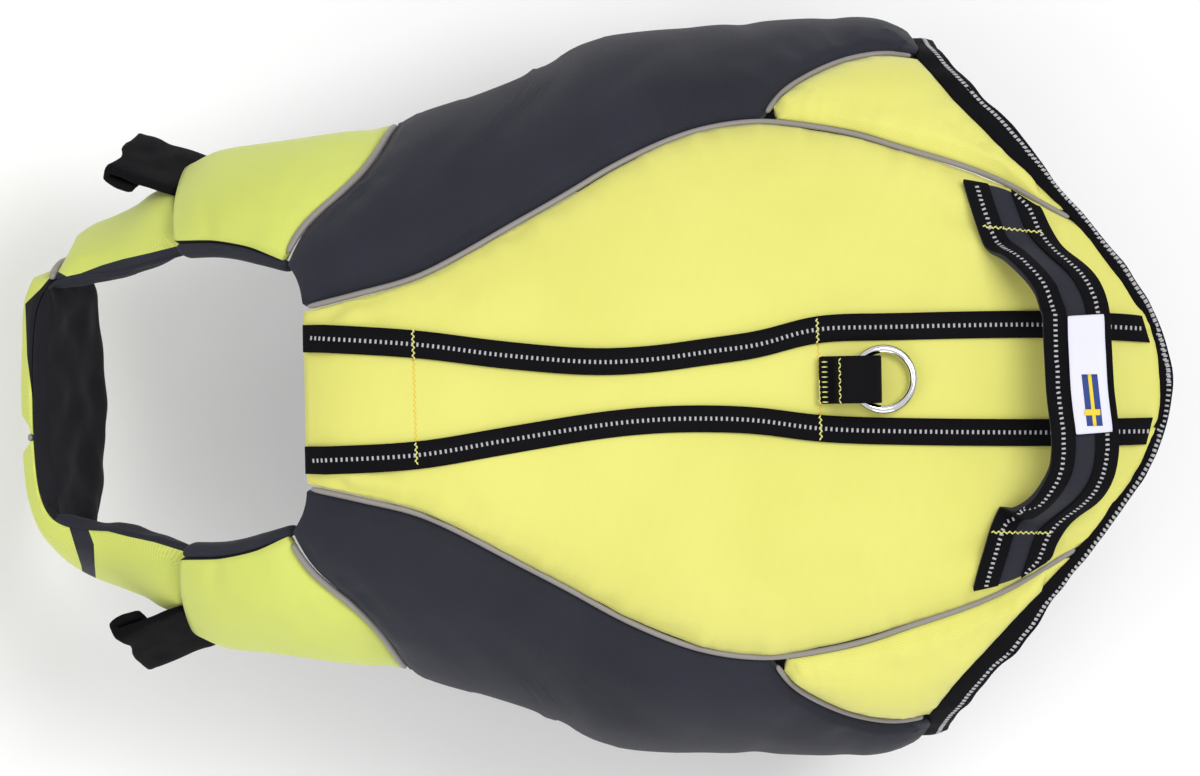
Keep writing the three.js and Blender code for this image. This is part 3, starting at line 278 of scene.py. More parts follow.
def body_place(point):
    """Where a point lies on the cloth: along the back, and round from the spine."""
    return Vector((point.x, math.atan2(point.y, point.z - BODY_AXIS_Z) * BODY_RADIUS, 0))


def collar_place(point):
    """Where a point lies on the collar's cloth: round the neck, and down."""
    turn = math.atan2(point.y, NECK_MIDDLE_X - point.x)
    return Vector((turn * NECK_RADIUS, point.z - 0.5 * point.x, 0))


def mark_cloth(piece, place):
    """Gives each point its place on the cloth, which the weave follows."""
    marks = piece.data.attributes.new("cloth", "FLOAT_VECTOR", "POINT")
    for vertex, mark in zip(piece.data.vertices, marks.data):
        mark.vector = place(vertex.co)


# How far a crease swings to its sides, as a share of its length
CREASE_BEND = 0.06
# Where a crease has run out, in squared half lengths
CREASE_ENDS = 4


def crease_depth(place, creases):
    """How deep a place lies in the creases near it, in millimetres."""
    x, out = place.x / MM, abs(place.y) / MM
    depth = 0.0
    for crease in creases:
        turn = math.radians(crease["turn"])
        dx, dy = x - crease["x"], out - crease["out"]
        along = dx * math.cos(turn) + dy * math.sin(turn)
        bend = CREASE_BEND * math.sin(along / crease["length"] * 4) * crease["length"]
        across = dy * math.cos(turn) - dx * math.sin(turn) - bend
        reach = (2 * along / crease["length"]) ** 2
        if reach < CREASE_ENDS:
            depth += crease["depth"] * math.exp(-(across / crease["width"]) ** 2 - reach * 1.2)
    return depth


PUCKER_FADED = 0.05


def pucker_depth(point, seams, reach, length):
    """Small uneven gathers beside a seam: none in the seam, most at the reach from it."""
    place, _, distance = seams.nearest(point)
    fade = distance / reach * math.exp(1 - distance / reach)
    if distance > reach and fade < PUCKER_FADED:
        return 0.0
    wave = noise.noise(place / length) + 0.5 * noise.noise(place / (length * 0.45) + Vector((7, 3, 1)))
    return wave * fade


SEAM_CLOSE = 0.4 * MM
# Towards the tail the seams are closed a little more: from this place on, by this share of the way
TAIL_CLOSE_FROM = 55 * MM
TAIL_CLOSE_SHARE = 0.016
# The shares of a normal that make a point part of a rim, or part of the outer side
RIM_SHARE = 0.5
OUTER_SHARE = 0.05
# The flank's step, in millimetres along the body, and how far out from the spine it grows full
FLANK_STEP_X = -72
FLANK_STEP_WIDTH = 2.4
FLANK_STEP = 3.2
FLANK_PRESSED_IN = 1.2
FLANK_FROM = 100
FLANK_FULL_OVER = 40
# The cloth round the step that is eased afterwards
FOLD_FROM = -115 * MM
FOLD_TO = -55 * MM
FOLD_OUT = 95 * MM
FOLD_ROUNDS = 10


def flank_fullness(x):
    """How far the flank stands out over the belly flaps, in millimetres: it steps in ahead of them."""
    step = 1 / (1 + math.exp(-(x / MM - FLANK_STEP_X) / FLANK_STEP_WIDTH))
    return FLANK_STEP * step - FLANK_PRESSED_IN


def work_cloth(piece, out, place, creases=(), seams=None, pucker=0.0, reach=5 * MM, length=8 * MM,
               swell=0.0, swell_length=60 * MM, seed=0.0, fullness=None, tail_share=0.0):
    """Moves the outer points of a piece for its creases, gathers and soft swells."""
    mesh = piece.data
    normals = [normal.vector.copy() for normal in mesh.vertex_normals]
    shift = Vector((seed, seed * 2, -seed))
    for vertex, normal in zip(mesh.vertices, normals):
        away = out(vertex.co)
        facing = normal.dot(away)
        sideways = normal - away * facing
        if sideways.length > RIM_SHARE:
            tail = max(vertex.co.x - TAIL_CLOSE_FROM, 0) * tail_share
            vertex.co += sideways.normalized() * (SEAM_CLOSE + tail)
        if facing <= OUTER_SHARE:
            continue
        weight = min(facing * 1.6, 1)
        depth = crease_depth(place(vertex.co), creases)
        if seams and pucker:
            depth += pucker * pucker_depth(vertex.co, seams, reach, length)
        if swell:
            depth += swell * noise.noise(vertex.co / swell_length + shift)
        if fullness:
            low = min(max((abs(vertex.co.y) / MM - FLANK_FROM) / FLANK_FULL_OVER, 0), 1)
            depth -= fullness(vertex.co.x) * low * low * (3 - 2 * low)
        vertex.co -= normal * (depth * MM * weight)
    mesh.update()


def ease_flank(piece):
    """Softens the cloth where the flank steps in, apart from the panel's rims."""
    form = bmesh.new()
    form.from_mesh(piece.data)
    flank = [
        vertex for vertex in form.verts
        if FOLD_FROM < vertex.co.x < FOLD_TO and abs(vertex.co.y) > FOLD_OUT
        and min(face.normal.dot(body_out(vertex.co)) for face in vertex.link_faces) > OPEN_CLOTH
    ]
    for _ in range(FOLD_ROUNDS):
        bmesh.ops.smooth_vert(
            form, verts=flank, factor=0.5, use_axis_x=True, use_axis_y=True, use_axis_z=True)
    form.to_mesh(piece.data)
    form.free()


LOOKS_INWARDS = -0.25


def line_inside(piece, lining, out):
    """Faces that look inwards get the lining."""
    piece.data.materials.append(lining)
    for face in piece.data.polygons:
        if face.normal.dot(out(face.center)) < LOOKS_INWARDS:
            face.material_index = 1


# Materials

def new_material(name, color, roughness, metallic=0.0, sheen=0.0, sheen_roughness=0.5, specular=0.5):
    """A plain finish, and its nodes, links and shader."""
    material = bpy.data.materials.new(name)
    material.use_nodes = True
    nodes, links = material.node_tree.nodes, material.node_tree.links
    shader = nodes["Principled BSDF"]
    shader.inputs["Base Color"].default_value = (*color, 1)
    shader.inputs["Roughness"].default_value = roughness
    shader.inputs["Metallic"].default_value = metallic
    shader.inputs["Sheen Weight"].default_value = sheen
    shader.inputs["Sheen Roughness"].default_value = sheen_roughness
    shader.inputs["Specular IOR Level"].default_value = specular
    return material, nodes, links, shader


def add_node(nodes, kind, **values):
    """A node with its settings and its unlinked inputs."""
    node = nodes.new(kind)
    for key, value in values.items():
        if key in node.inputs:
            node.inputs[key].default_value = value
        else:
            setattr(node, key, value)
    return node


YARN_GAP_SHADE = 0.22
CLOUD_FROM, CLOUD_TO = 0.35, 0.75


def woven(name, color, shade, yarn, relief, roughness, rumple=0.3, rumple_size=26, sheen=0.15,
          specular=0.25):
    """Woven cloth: over-and-under yarns, a fine rumple and a soft change of colour."""
    material, nodes, links, shader = new_material(name, color, roughness, sheen=sheen, specular=specular)
    place = add_node(nodes, "ShaderNodeAttribute", attribute_name="cloth")
    wave_scale = math.pi / 10 / yarn
    warp = add_node(nodes, "ShaderNodeTexWave", bands_direction="X", Scale=wave_scale, Distortion=0.0)
    weft = add_node(nodes, "ShaderNodeTexWave", bands_direction="Y", Scale=wave_scale, Distortion=0.0)
    over = add_node(nodes, "ShaderNodeTexChecker", Scale=1 / yarn)
    weave = add_node(nodes, "ShaderNodeMix", data_type="FLOAT")
    for texture in (warp, weft, over):
        links.new(place.outputs["Vector"], texture.inputs["Vector"])
    links.new(over.outputs["Fac"], weave.inputs[0])
    links.new(warp.outputs["Fac"], weave.inputs[2])
    links.new(weft.outputs["Fac"], weave.inputs[3])
    solid = add_node(nodes, "ShaderNodeTexCoord")
    rough = add_node(nodes, "ShaderNodeTexNoise", Scale=1 / (rumple_size * MM), Detail=4.0, Roughness=0.55,
                     Distortion=0.6)
    fuzz = add_node(nodes, "ShaderNodeTexNoise", Scale=900.0, Detail=2.0)
    cloud = add_node(nodes, "ShaderNodeTexNoise", Scale=14.0, Detail=3.0, Roughness=0.5)
    for texture in (rough, fuzz, cloud):
        links.new(solid.outputs["Object"], texture.inputs["Vector"])
    rumpled = add_node(nodes, "ShaderNodeBump", Strength=rumple, Distance=1.2 * MM)
    fine = add_node(nodes, "ShaderNodeBump", Strength=relief, Distance=0.12 * MM)
    links.new(rough.outputs["Fac"], rumpled.inputs["Height"])
    links.new(weave.outputs[0], fine.inputs["Height"])
    links.new(rumpled.outputs["Normal"], fine.inputs["Normal"])
    links.new(fine.outputs["Normal"], shader.inputs["Normal"])
    tone = add_node(nodes, "ShaderNodeMapRange")
    tone.inputs["From Min"].default_value = CLOUD_FROM
    tone.inputs["From Max"].default_value = CLOUD_TO
    links.new(cloud.outputs["Fac"], tone.inputs["Value"])
    clouded = add_node(nodes, "ShaderNodeMix", data_type="RGBA")
    clouded.inputs[6].default_value = (*color, 1)
    clouded.inputs[7].default_value = (*shade, 1)
    links.new(tone.outputs["Result"], clouded.inputs[0])
    gaps = add_node(nodes, "ShaderNodeMix", data_type="RGBA", blend_type="MULTIPLY")
    gaps.inputs[0].default_value = YARN_GAP_SHADE
    links.new(clouded.outputs[2], gaps.inputs[6])
    links.new(weave.outputs[0], gaps.inputs[7])
    links.new(gaps.outputs[2], shader.inputs["Base Color"])
    dull = add_node(nodes, "ShaderNodeMapRange")
    dull.inputs["To Min"].default_value = roughness - 0.06
    dull.inputs["To Max"].default_value = min(roughness + 0.08, 1)
    links.new(fuzz.outputs["Fac"], dull.inputs["Value"])
    links.new(dull.outputs["Result"], shader.inputs["Roughness"])
    return material


def plain_finish(name, color, roughness, metallic=0.0, grain=0.1, grain_size=0.6, sheen=0.0):
    """A smooth finish with a fine grain."""
    material, nodes, links, shader = new_material(name, color, roughness, metallic, sheen)
    place = add_node(nodes, "ShaderNodeTexCoord")
    texture = add_node(nodes, "ShaderNodeTexNoise", Scale=1 / (grain_size * MM), Detail=3.0)
    bump = add_node(nodes, "ShaderNodeBump", Strength=grain, Distance=0.1 * MM)
    links.new(place.outputs["Object"], texture.inputs["Vector"])
    links.new(texture.outputs["Fac"], bump.inputs["Height"])
    links.new(bump.outputs["Normal"], shader.inputs["Normal"])
    return material


YELLOW = woven("yellow_cloth", (0.75, 0.73, 0.18), (0.69, 0.68, 0.15), 0.45 * MM, 0.25, 0.66)
# Painted shade: the same yellow cloth made darker and greener, standing in for the shade where the
# shoulders, collar arms and chest front slope away from the light
SHADED_YELLOW = woven("deep_yellow_cloth", (0.655, 0.725, 0.15), (0.60, 0.67, 0.125), 0.45 * MM, 0.25, 0.68)
GREY = woven("grey_cloth", (0.019, 0.020, 0.032), (0.013, 0.014, 0.022), 0.6 * MM, 0.45, 0.75, sheen=0.05)
LINING = woven("lining_cloth", (0.012, 0.012, 0.016), (0.007, 0.007, 0.010), 0.5 * MM, 0.3, 0.8,
               rumple=0.7, rumple_size=14, sheen=0.03, specular=0.18)
WEBBING = woven("webbing", (0.0035, 0.0035, 0.005), (0.002, 0.002, 0.003), 0.9 * MM, 0.8, 0.85,
                rumple=0.15, sheen=0.0, specular=0.12)
PIPING = plain_finish("piping_cloth", (0.24, 0.222, 0.21), 0.5, grain=0.5, grain_size=0.5)
REFLECTIVE = plain_finish("reflective_yarn", (0.40, 0.40, 0.43), 0.4)
PALE_THREAD = plain_finish("pale_yellow_thread", (0.66, 0.66, 0.20), 0.6)
GOLD_THREAD = plain_finish("gold_thread", (0.80, 0.50, 0.04), 0.6)
LABEL = woven("label_cloth", (0.74, 0.74, 0.86), (0.71, 0.71, 0.83), 0.3 * MM, 0.2, 0.5, rumple=0.2)
FLAG_BLUE = woven("flag_blue", (0.025, 0.06, 0.26), (0.02, 0.05, 0.22), 0.3 * MM, 0.2, 0.6, rumple=0.1)
FLAG_YELLOW = woven("flag_yellow", (0.82, 0.62, 0.04), (0.78, 0.58, 0.035), 0.3 * MM, 0.2, 0.6, rumple=0.1)
STEEL = plain_finish("ring_metal", (0.80, 0.80, 0.84), 0.09, metallic=1.0, grain=0.03, grain_size=3)


# Padded panels

def settle(piece, nodes, body=JACKET):
    """Puts a piece in the place of its nodes."""
    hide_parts(*nodes)
    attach(piece, body)


def soft_piece(node, material, levels=2, firm=1.0, out=None):
    """A rounded copy of a node's form."""
    piece = finish_form(node_form(node), f"{node}_cloth", material)
    round_off(piece, levels, firm, out=out)
    return piece


def both(name):
    return (f"{name}_right", f"{name}_left")


CORD_SWELL = 0.05 * MM
CORD_SWELLS = {"shoulder": 0.3 * MM, "chest": 0.7 * MM}
# The back's pipings run in under the binding at the tail: from this place on they are drawn out
CORD_END_FROM = 120 * MM
CORD_END_EXTRA = 4 * MM
CORD_END_NEAR = 4 * MM
CORD_END_DOWN = 0.12


def draw_out_end(cord):
    """Draws out a piping's tail end along its own way and a little down."""
    last = max(vertex.co.x for vertex in cord.data.vertices)
    tip, root = (
        [vertex.co for vertex in cord.data.vertices if abs(vertex.co.x - place) < CORD_END_NEAR]
        for place in (last, CORD_END_FROM)
    )
    way = sum(tip, Vector()) / len(tip) - sum(root, Vector()) / len(root)
    way = (way.normalized() - Vector((0, 0, CORD_END_DOWN))).normalized()
    for vertex in cord.data.vertices:
        share = max((vertex.co.x - CORD_END_FROM) / (last - CORD_END_FROM), 0)
        vertex.co += way * (CORD_END_EXTRA * share)


pipings = {}
for node in (*both("back_piping"), *both("rear_piping"), *both("shoulder_piping"), *both("chest_piping")):
    cord = soft_piece(node, PIPING, levels=2, firm=0.0)
    swell = CORD_SWELLS.get(node.split("_")[0], CORD_SWELL)
    normals = [normal.vector.copy() for normal in cord.data.vertex_normals]
    for vertex, normal in zip(cord.data.vertices, normals):
        vertex.co += normal * swell
    if node.startswith("back"):
        draw_out_end(cord)
    mark_cloth(cord, body_place)
    settle(cord, [node])
    pipings[node] = cord

tapes = {node: finish_form(node_form(node), f"{node}_cloth", WEBBING) for node in both("back_tape")}
binding = finish_form(node_form("hem_binding"), "hem_binding_cloth", WEBBING)
seams = Surface(*pipings.values(), binding)

PANELS = (
    dict(node="back_centre", material=YELLOW, slot="yellow_cloth", creases=(), pucker=0.5, swell=0.6),
    dict(node="back", material=YELLOW, slot="yellow_cloth", creases=BACK_CREASES, pucker=1.5, swell=1.2),
    dict(node="rear_side", material=YELLOW, slot="yellow_cloth", creases=REAR_CREASES,
         pucker=1.3, swell=0.8),
    dict(node="side", material=GREY, slot="grey_cloth", creases=SIDE_CREASES, pucker=1.3, swell=1.6),
    # The shoulders wear the yellow cloth with painted shade
    dict(node="shoulder", material=SHADED_YELLOW, slot="deep_yellow_cloth", creases=SHOULDER_CREASES,
         pucker=1.0, swell=1.0),
    dict(node="belly_flap", material=GREY, slot="grey_cloth", creases=FLAP_CREASES, pucker=0.8, swell=1.0),
)
panels = {}
for row in PANELS:
    for node in (row["node"],) if row["node"] in NODES else both(row["node"]):
        panel = soft_piece(node, row["material"], out=body_out)
        full = flank_fullness if row["node"] in ("side", "belly_flap") else None
        work_cloth(panel, body_out, body_place, row["creases"], seams, row["pucker"], swell=row["swell"],
                   seed=len(panels) * 3.7, fullness=full, tail_share=TAIL_CLOSE_SHARE)
        if full:
            ease_flank(panel)
        line_inside(panel, LINING, body_out)
        mark_cloth(panel, body_place)
        settle(panel, [node])
        panels[node] = panel


# Collar

NECK_HOLLOW = Vector((-215 * MM, 0, -60 * MM))


def collar_out(point):
    """The direction from the neck's hollow out through the collar."""
    return (point - NECK_HOLLOW).normalized()


COLLAR_PIECES = (
    # The collar arms and chest front wear the yellow cloth with painted shade
    dict(node="collar_arm_right", material=SHADED_YELLOW, slot="deep_yellow_cloth", swell=1.3),
    dict(node="collar_arm_left", material=SHADED_YELLOW, slot="deep_yellow_cloth", swell=1.3),
    dict(node="chest_front", material=SHADED_YELLOW, slot="deep_yellow_cloth", swell=1.0),
    dict(node="arm_lining_right", material=GREY, slot="lining_cloth", swell=-1.5),
    dict(node="arm_lining_left", material=GREY, slot="lining_cloth", swell=-1.5),
    dict(node="chest_lining", material=LINING, slot="lining_cloth", swell=-2.2),
)
# Where the lining rolls over the collar's upper edge, from above in millimetres: along the
# right arm, round the chest and back along the left arm. At the left front corner it runs out
# to the collar's outer edge
ROLL_EDGE = (
    dict(x=-214, y=67.2), dict(x=-222, y=67), dict(x=-231, y=66), dict(x=-248, y=62.2),
    dict(x=-259, y=60), dict(x=-268, y=57.6), dict(x=-277, y=54.4), dict(x=-283, y=53.2),
    dict(x=-287, y=55.5), dict(x=-291, y=52), dict(x=-294, y=48.5), dict(x=-301, y=42),
    dict(x=-300.6, y=20), dict(x=-298.4, y=0), dict(x=-295, y=-19), dict(x=-290.5, y=-36),
    dict(x=-285, y=-49), dict(x=-281.6, y=-61), dict(x=-279.4, y=-69), dict(x=-278.8, y=-77),
    dict(x=-273.4, y=-77), dict(x=-273.6, y=-60), dict(x=-276.6, y=-51.6), dict(x=-270, y=-54),
    dict(x=-259, y=-57), dict(x=-248, y=-59.5), dict(x=-231, y=-65), dict(x=-222, y=-66.6),
    dict(x=-214, y=-67.2),
)
ROLL_REACH = 9 * MM
COLLAR_SWELL_LENGTH = 30 * MM
LINING_SWELL_LENGTH = 13 * MM
NECK_FACING_FROM = -202 * MM
NECK_FACING_STRETCH = 0.35


def cut_along_walls(piece, line):
    """Cuts a piece along upright walls through a line seen from above."""
    form = bmesh.new()
    form.from_mesh(piece.data)
    for start, end in zip(line, line[1:]):
        ends = (start, start.lerp(end, 0.5), end)
        near = [
            face for face in form.faces
            if min((face.calc_center_median().xy - spot.xy).length for spot in ends) < ROLL_REACH
        ]
        edges = list({edge for face in near for edge in face.edges})
        verts = list({vertex for face in near for vertex in face.verts})
        wall = Vector((end.y - start.y, start.x - end.x, 0)).normalized()
        bmesh.ops.bisect_plane(form, geom=verts + edges + near, plane_co=start, plane_no=wall)
    form.to_mesh(piece.data)
    form.free()
    for face in piece.data.polygons:
        face.use_smooth = True


def within(line, place):
    """Whether a place seen from above lies inside a closed line."""
    inside = False
    for a, b in zip(line, line[1:] + line[:1]):
        if (a.y > place.y) == (b.y > place.y):
            continue
        if place.x < a.x + (b.x - a.x) * (place.y - a.y) / (b.y - a.y):
            inside = not inside
    return inside


roll_line = [Vector((row["x"] * MM, row["y"] * MM, 0)) for row in ROLL_EDGE]
for row in COLLAR_PIECES:
    collar = soft_piece(row["node"], row["material"])
    facing = 1 if row["swell"] > 0 else -1
    work_cloth(collar, lambda point: collar_out(point) * facing, collar_place,
               swell=abs(row["swell"]),
               swell_length=LINING_SWELL_LENGTH if facing < 0 else COLLAR_SWELL_LENGTH)
    if facing > 0:
        cut_along_walls(collar, roll_line)
        collar.data.materials.append(LINING if row["node"] == "chest_front" else GREY)
        for face in collar.data.polygons:
            if face.normal.z > 0 and within(roll_line, face.center):
                face.material_index = 1
    mark_cloth(collar, collar_place)
    settle(collar, [row["node"]])

for node in both("neck_facing"):
    facing = soft_piece(node, GREY, firm=0.25)
    for vertex in facing.data.vertices:
        past = max(vertex.co.x - NECK_FACING_FROM, 0)
        vertex.co.x += past * NECK_FACING_STRETCH
    mark_cloth(facing, body_place)
    settle(facing, [node])


# Tapes, binding, fastener strips and tabs


def as_webbing(piece, node):
    """Puts a thin flat piece of webbing in the place of its node."""
    settle(piece, [node])


for node, tape in tapes.items():
    round_off(tape, 2, 1.0)
    mark_cloth(tape, body_place)
    as_webbing(tape, node)

round_off(binding, 2, 1.0)
work_cloth(binding, body_out, body_place, swell=1.1, swell_length=11 * MM, seed=4.0)
mark_cloth(binding, body_place)
as_webbing(binding, "hem_binding")

for node in ("belly_loop_strip", "belly_hook_strip"):
    strip = soft_piece(node, WEBBING, firm=0.8)
    mark_cloth(strip, body_place)
    as_webbing(strip, node)

TAB_SWELL = 1.1 * MM
TAB_TUCK = 5 * MM
TAB_BACK = 3.5 * MM
TAB_INWARDS = 2.5 * MM
TAB_CORNER_OUT = 5 * MM
TAB_CORNER_UP = 6 * MM
TAB_NOTCH = 7 * MM
TAB_NOTCH_AT, TAB_NOTCH_WIDTH = 0.62, 0.13
TAB_RUMPLE = 1.2 * MM
TAB_RUMPLE_SIZE = 9 * MM


def curl_tab(tab):
    """Fills the tab out, tucks its root behind the shoulder and bends its free corner up."""
    mesh = tab.data
    low = Vector([min(vertex.co[k] for vertex in mesh.vertices) for k in range(3)])
    high = Vector([max(vertex.co[k] for vertex in mesh.vertices) for k in range(3)])
    normals = [normal.vector.copy() for normal in mesh.vertex_normals]
    hand = 1 if low.y > 0 else -1
    for vertex, normal in zip(mesh.vertices, normals):
        ahead = (high.x - vertex.co.x) / (high.x - low.x)
        outer = (abs(vertex.co.y) - min(abs(low.y), abs(high.y))) / (high.y - low.y)
        root = max(1 - ahead * 2.2, 0) ** 1.5
        vertex.co += normal * TAB_SWELL
        vertex.co.x += TAB_TUCK * root + TAB_BACK
        vertex.co.y -= hand * (TAB_INWARDS + TAB_INWARDS * root)
        tip = max(ahead - 0.6, 0) * 2.5
        vertex.co.y += hand * tip * (outer - 0.3) * TAB_CORNER_OUT
        vertex.co.z += tip * outer * TAB_CORNER_UP
        notch = math.exp(-((outer - TAB_NOTCH_AT) / TAB_NOTCH_WIDTH) ** 2) * max(ahead - 0.78, 0) * 4.5
        vertex.co.x += notch * TAB_NOTCH
        vertex.co += normal * (noise.noise(vertex.co / TAB_RUMPLE_SIZE) * TAB_RUMPLE)
    mesh.update()


for node in both("strap_tab"):
    tab = soft_piece(node, WEBBING, levels=3, firm=0.7)
    curl_tab(tab)
    mark_cloth(tab, body_place)
    as_webbing(tab, node)


# Handle, label and leash loop

handle = soft_piece("handle_strap", GREY, firm=0.8)
mark_cloth(handle, body_place)
as_webbing(handle, "handle_strap")
handle_tapes = {}
for node in ("handle_tape_front", "handle_tape_rear"):
    tape = soft_piece(node, WEBBING, firm=0.8)
    mark_cloth(tape, body_place)
    as_webbing(tape, node)
    handle_tapes[node] = tape

label = soft_piece("handle_label", LABEL, firm=0.9)
mark_cloth(label, body_place)
as_webbing(label, "handle_label")

loop = soft_piece("leash_loop", WEBBING, firm=0.85)
mark_cloth(loop, body_place)
as_webbing(loop, "leash_loop")

ring = finish_form(node_form("leash_ring"), "leash_ring_steel", STEEL)
round_off(ring, 2)
settle(ring, ["leash_ring"], "ring")


# Yarns and stitches

def row_of(name, stops, size, material, sway=0.0, turn=0.0, round_thread=True):
    """A row of stitches or woven bars, each of size (along, across, high), at the stops."""
    form = bmesh.new()
    for k, (point, normal, along) in enumerate(stops):
        side = normal.cross(along).normalized()
        ahead = side.cross(normal)
        swing = -1 if k % 2 else 1
        spot = Matrix((ahead, side, normal)).transposed().to_4x4()
        spot.translation = point + side * (sway * swing)
        shape = spot @ Matrix.Rotation(turn * swing, 4, "Z") @ Matrix.Diagonal((*size, 1))
        if round_thread:
            bmesh.ops.create_icosphere(form, subdivisions=1, radius=0.5, matrix=shape)
        else:
            bmesh.ops.create_cube(form, size=1, matrix=shape)
    piece = finish_form(form, name, material)
    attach(piece, JACKET)
    return piece


BAR = (0.85 * MM, 1.7 * MM, 0.3 * MM)
BAR_PITCH = 2.2 * MM

tape_top = Surface(*tapes.values())
for hand, side in ((1, "right"), (-1, "left")):
    middle = [(row["x"], hand * row["half_width"] + row["drift"]) for row in CENTRE_STRIP]
    bars = stops_along(seen_from_above(tape_top, middle), BAR_PITCH, 2 * MM)
    row_of(f"tape_bars_{side}", bars, BAR, REFLECTIVE, round_thread=False)


BINDING_TURN = range(-182, 184, 2)
BINDING_X = tuple((30 + k * 0.6) * MM for k in range(300))


def binding_edge(surface):
    """The binding's outer edge round the body, from one end under the belly to the other."""
    edge = []
    for degrees in BINDING_TURN:
        met = [place for place in (surface.around(x, degrees) for x in BINDING_X) if place]
        if met:
            edge.append(met[-1])
    return edge


# How far in from the binding's edge the bars run, in millimetres: less where it is narrow at the tail
BARS_INSET = 3.6
BARS_LESS_INSET = 2.4
BARS_NARROW_FROM, BARS_NARROW_OVER = 118, 14
BARS_SOUGHT_FROM = 6 * MM
BARS_FACE_OUT = 0.2

binding_top = Surface(binding)
edge = binding_edge(binding_top)
inset = []
for before, (point, _), after in zip(edge, edge[1:], edge[2:]):
    out = body_out(point)
    along = (after[0] - before[0]).normalized()
    inward = out.cross(along).normalized()
    if inward.x > 0:
        inward = -inward
    narrow = min(max((point.x / MM - BARS_NARROW_FROM) / BARS_NARROW_OVER, 0), 1)
    spot = point + inward * ((BARS_INSET - BARS_LESS_INSET * narrow) * MM)
    place, normal, _ = binding_top.nearest(spot + out * BARS_SOUGHT_FROM)
    if normal.dot(out) > BARS_FACE_OUT:
        inset.append((place, normal))
row_of("binding_bars", stops_along(inset, BAR_PITCH), BAR, REFLECTIVE, round_thread=False)


# Label: a small flag on its lower half

PATCH_THICKNESS = 0.12 * MM


def patch(name, surface, corners, lift, material, cuts=12):
    """A thin woven patch laid on a surface, its corners seen from above in millimetres."""
    form = bmesh.new()
    bmesh.ops.create_grid(form, x_segments=cuts, y_segments=cuts, size=0.5)
    a, b, c, d = (Vector((x * MM, y * MM, 0)) for x, y in corners)
    for vertex in form.verts:
        s, t = vertex.co.x + 0.5, vertex.co.y + 0.5
        flat = a.lerp(b, s).lerp(d.lerp(c, s), t)
        point, normal = surface.below(flat.x, flat.y)
        vertex.co = point + normal * (lift * MM)
    bmesh.ops.recalc_face_normals(form, faces=form.faces)
    if sum(face.normal.z for face in form.faces) < 0:
        bmesh.ops.reverse_faces(form, faces=form.faces)
    bmesh.ops.solidify(form, geom=form.faces[:], thickness=PATCH_THICKNESS)
    piece = finish_form(form, name, material)
    mark_cloth(piece, body_place)
    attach(piece, JACKET)
    return piece


LABEL_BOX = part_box("handle_label")
label_top = Surface(label)


def on_label(along, across):
    """A place on the label in millimetres from above, by shares of its length and width."""
    low, high = (Vector(corner) / MM for corner in LABEL_BOX)
    y = high.y + (low.y - high.y) * along
    met = [x for x in range(int(low.x) - 1, int(high.x) + 2) if label_top.below(x * MM, y * MM)]
    return met[0] + (met[-1] - met[0]) * across, y


FLAG = (
    dict(name="flag_field", along=(0.50, 0.93), across=(0.30, 0.74), lift=0.1, material=FLAG_BLUE),
    dict(name="flag_bar", along=(0.50, 0.93), across=(0.47, 0.57), lift=0.28, material=FLAG_YELLOW),
    dict(name="flag_cross", along=(0.79, 0.84), across=(0.30, 0.74), lift=0.36, material=FLAG_YELLOW),
)
for row in FLAG:
    (along_from, along_to), (across_from, across_to) = row["along"], row["across"]
    patch(row["name"], label_top, [
        on_label(along_from, across_from), on_label(along_from, across_to),
        on_label(along_to, across_to), on_label(along_to, across_from),
    ], row["lift"], row["material"])


# Handle: bars along the middle of both tapes, and the stitches that hold its ends

def middle_from_above(surface, y, low_x, high_x, step=0.5):
    """The middle of what a surface shows from above at y, with its normal."""
    count = int((high_x - low_x) / step)
    met = [low_x + k * step for k in range(count) if surface.below((low_x + k * step) * MM, y * MM)]
    return surface.below((met[0] + met[-1]) / 2 * MM, y * MM) if met else None


FACES_UP = 0.2

for node, tape in handle_tapes.items():
    low, high = (Vector(corner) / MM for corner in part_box(node))
    top = Surface(tape)
    rows = range(int(low.y) + 2, int(high.y) - 1)
    places = [middle_from_above(top, y, low.x - 1, high.x + 1) for y in rows]
    places = [place for place in places if place and place[1].z > FACES_UP]
    bars = stops_along(places, BAR_PITCH)
    row_of(f"{node}_bars", bars, BAR, REFLECTIVE, round_thread=False)


# Stitches of coloured thread, from above in millimetres: on webbing they are thick and pale,
# on cloth thin and golden
STITCH_LINES = (
    dict(name="front_stitches", start=(-136.8, 27.4), end=(-136.2, -29.2), pitch=1.15),
    dict(name="loop_stitches", start=(32.6, 30.4), end=(33.4, -21.6), pitch=1.15),
    dict(name="handle_stitches_right", start=(103.4, 66.6), end=(127.8, 63.6), pitch=1.15),
    dict(name="handle_stitches_left", start=(104.6, -61.6), end=(129.6, -62.4), pitch=1.15),
)
THICK_STITCH = (1.9 * MM, 0.8 * MM, 0.6 * MM)
THIN_STITCH = (1.8 * MM, 0.5 * MM, 0.45 * MM)
STITCH_SWAY = 0.25 * MM
LINE_STEPS = 60
ON_DARK = 0.3 * MM
dark_top = Surface(*tapes.values(), *handle_tapes.values(), handle, loop)
all_top = Surface(*panels.values(), *tapes.values(), *handle_tapes.values(), handle, loop)
for row in STITCH_LINES:
    start, end = Vector((*row["start"], 0)), Vector((*row["end"], 0))
    line = [start.lerp(end, k / LINE_STEPS) for k in range(LINE_STEPS + 1)]
    places = [all_top.below(point.x * MM, point.y * MM) for point in line]
    stops = stops_along([place for place in places if place], row["pitch"] * MM)
    dark, light = [], []
    for stop in stops:
        on_dark = dark_top.below(stop[0].x, stop[0].y)
        (dark if on_dark and (on_dark[0] - stop[0]).length < ON_DARK else light).append(stop)
    row_of(row["name"] + "_pale", dark, THICK_STITCH, PALE_THREAD, sway=STITCH_SWAY,
           turn=math.radians(32))
    if light:
        row_of(row["name"] + "_gold", light, THIN_STITCH, GOLD_THREAD, sway=STITCH_SWAY,
               turn=math.radians(28))

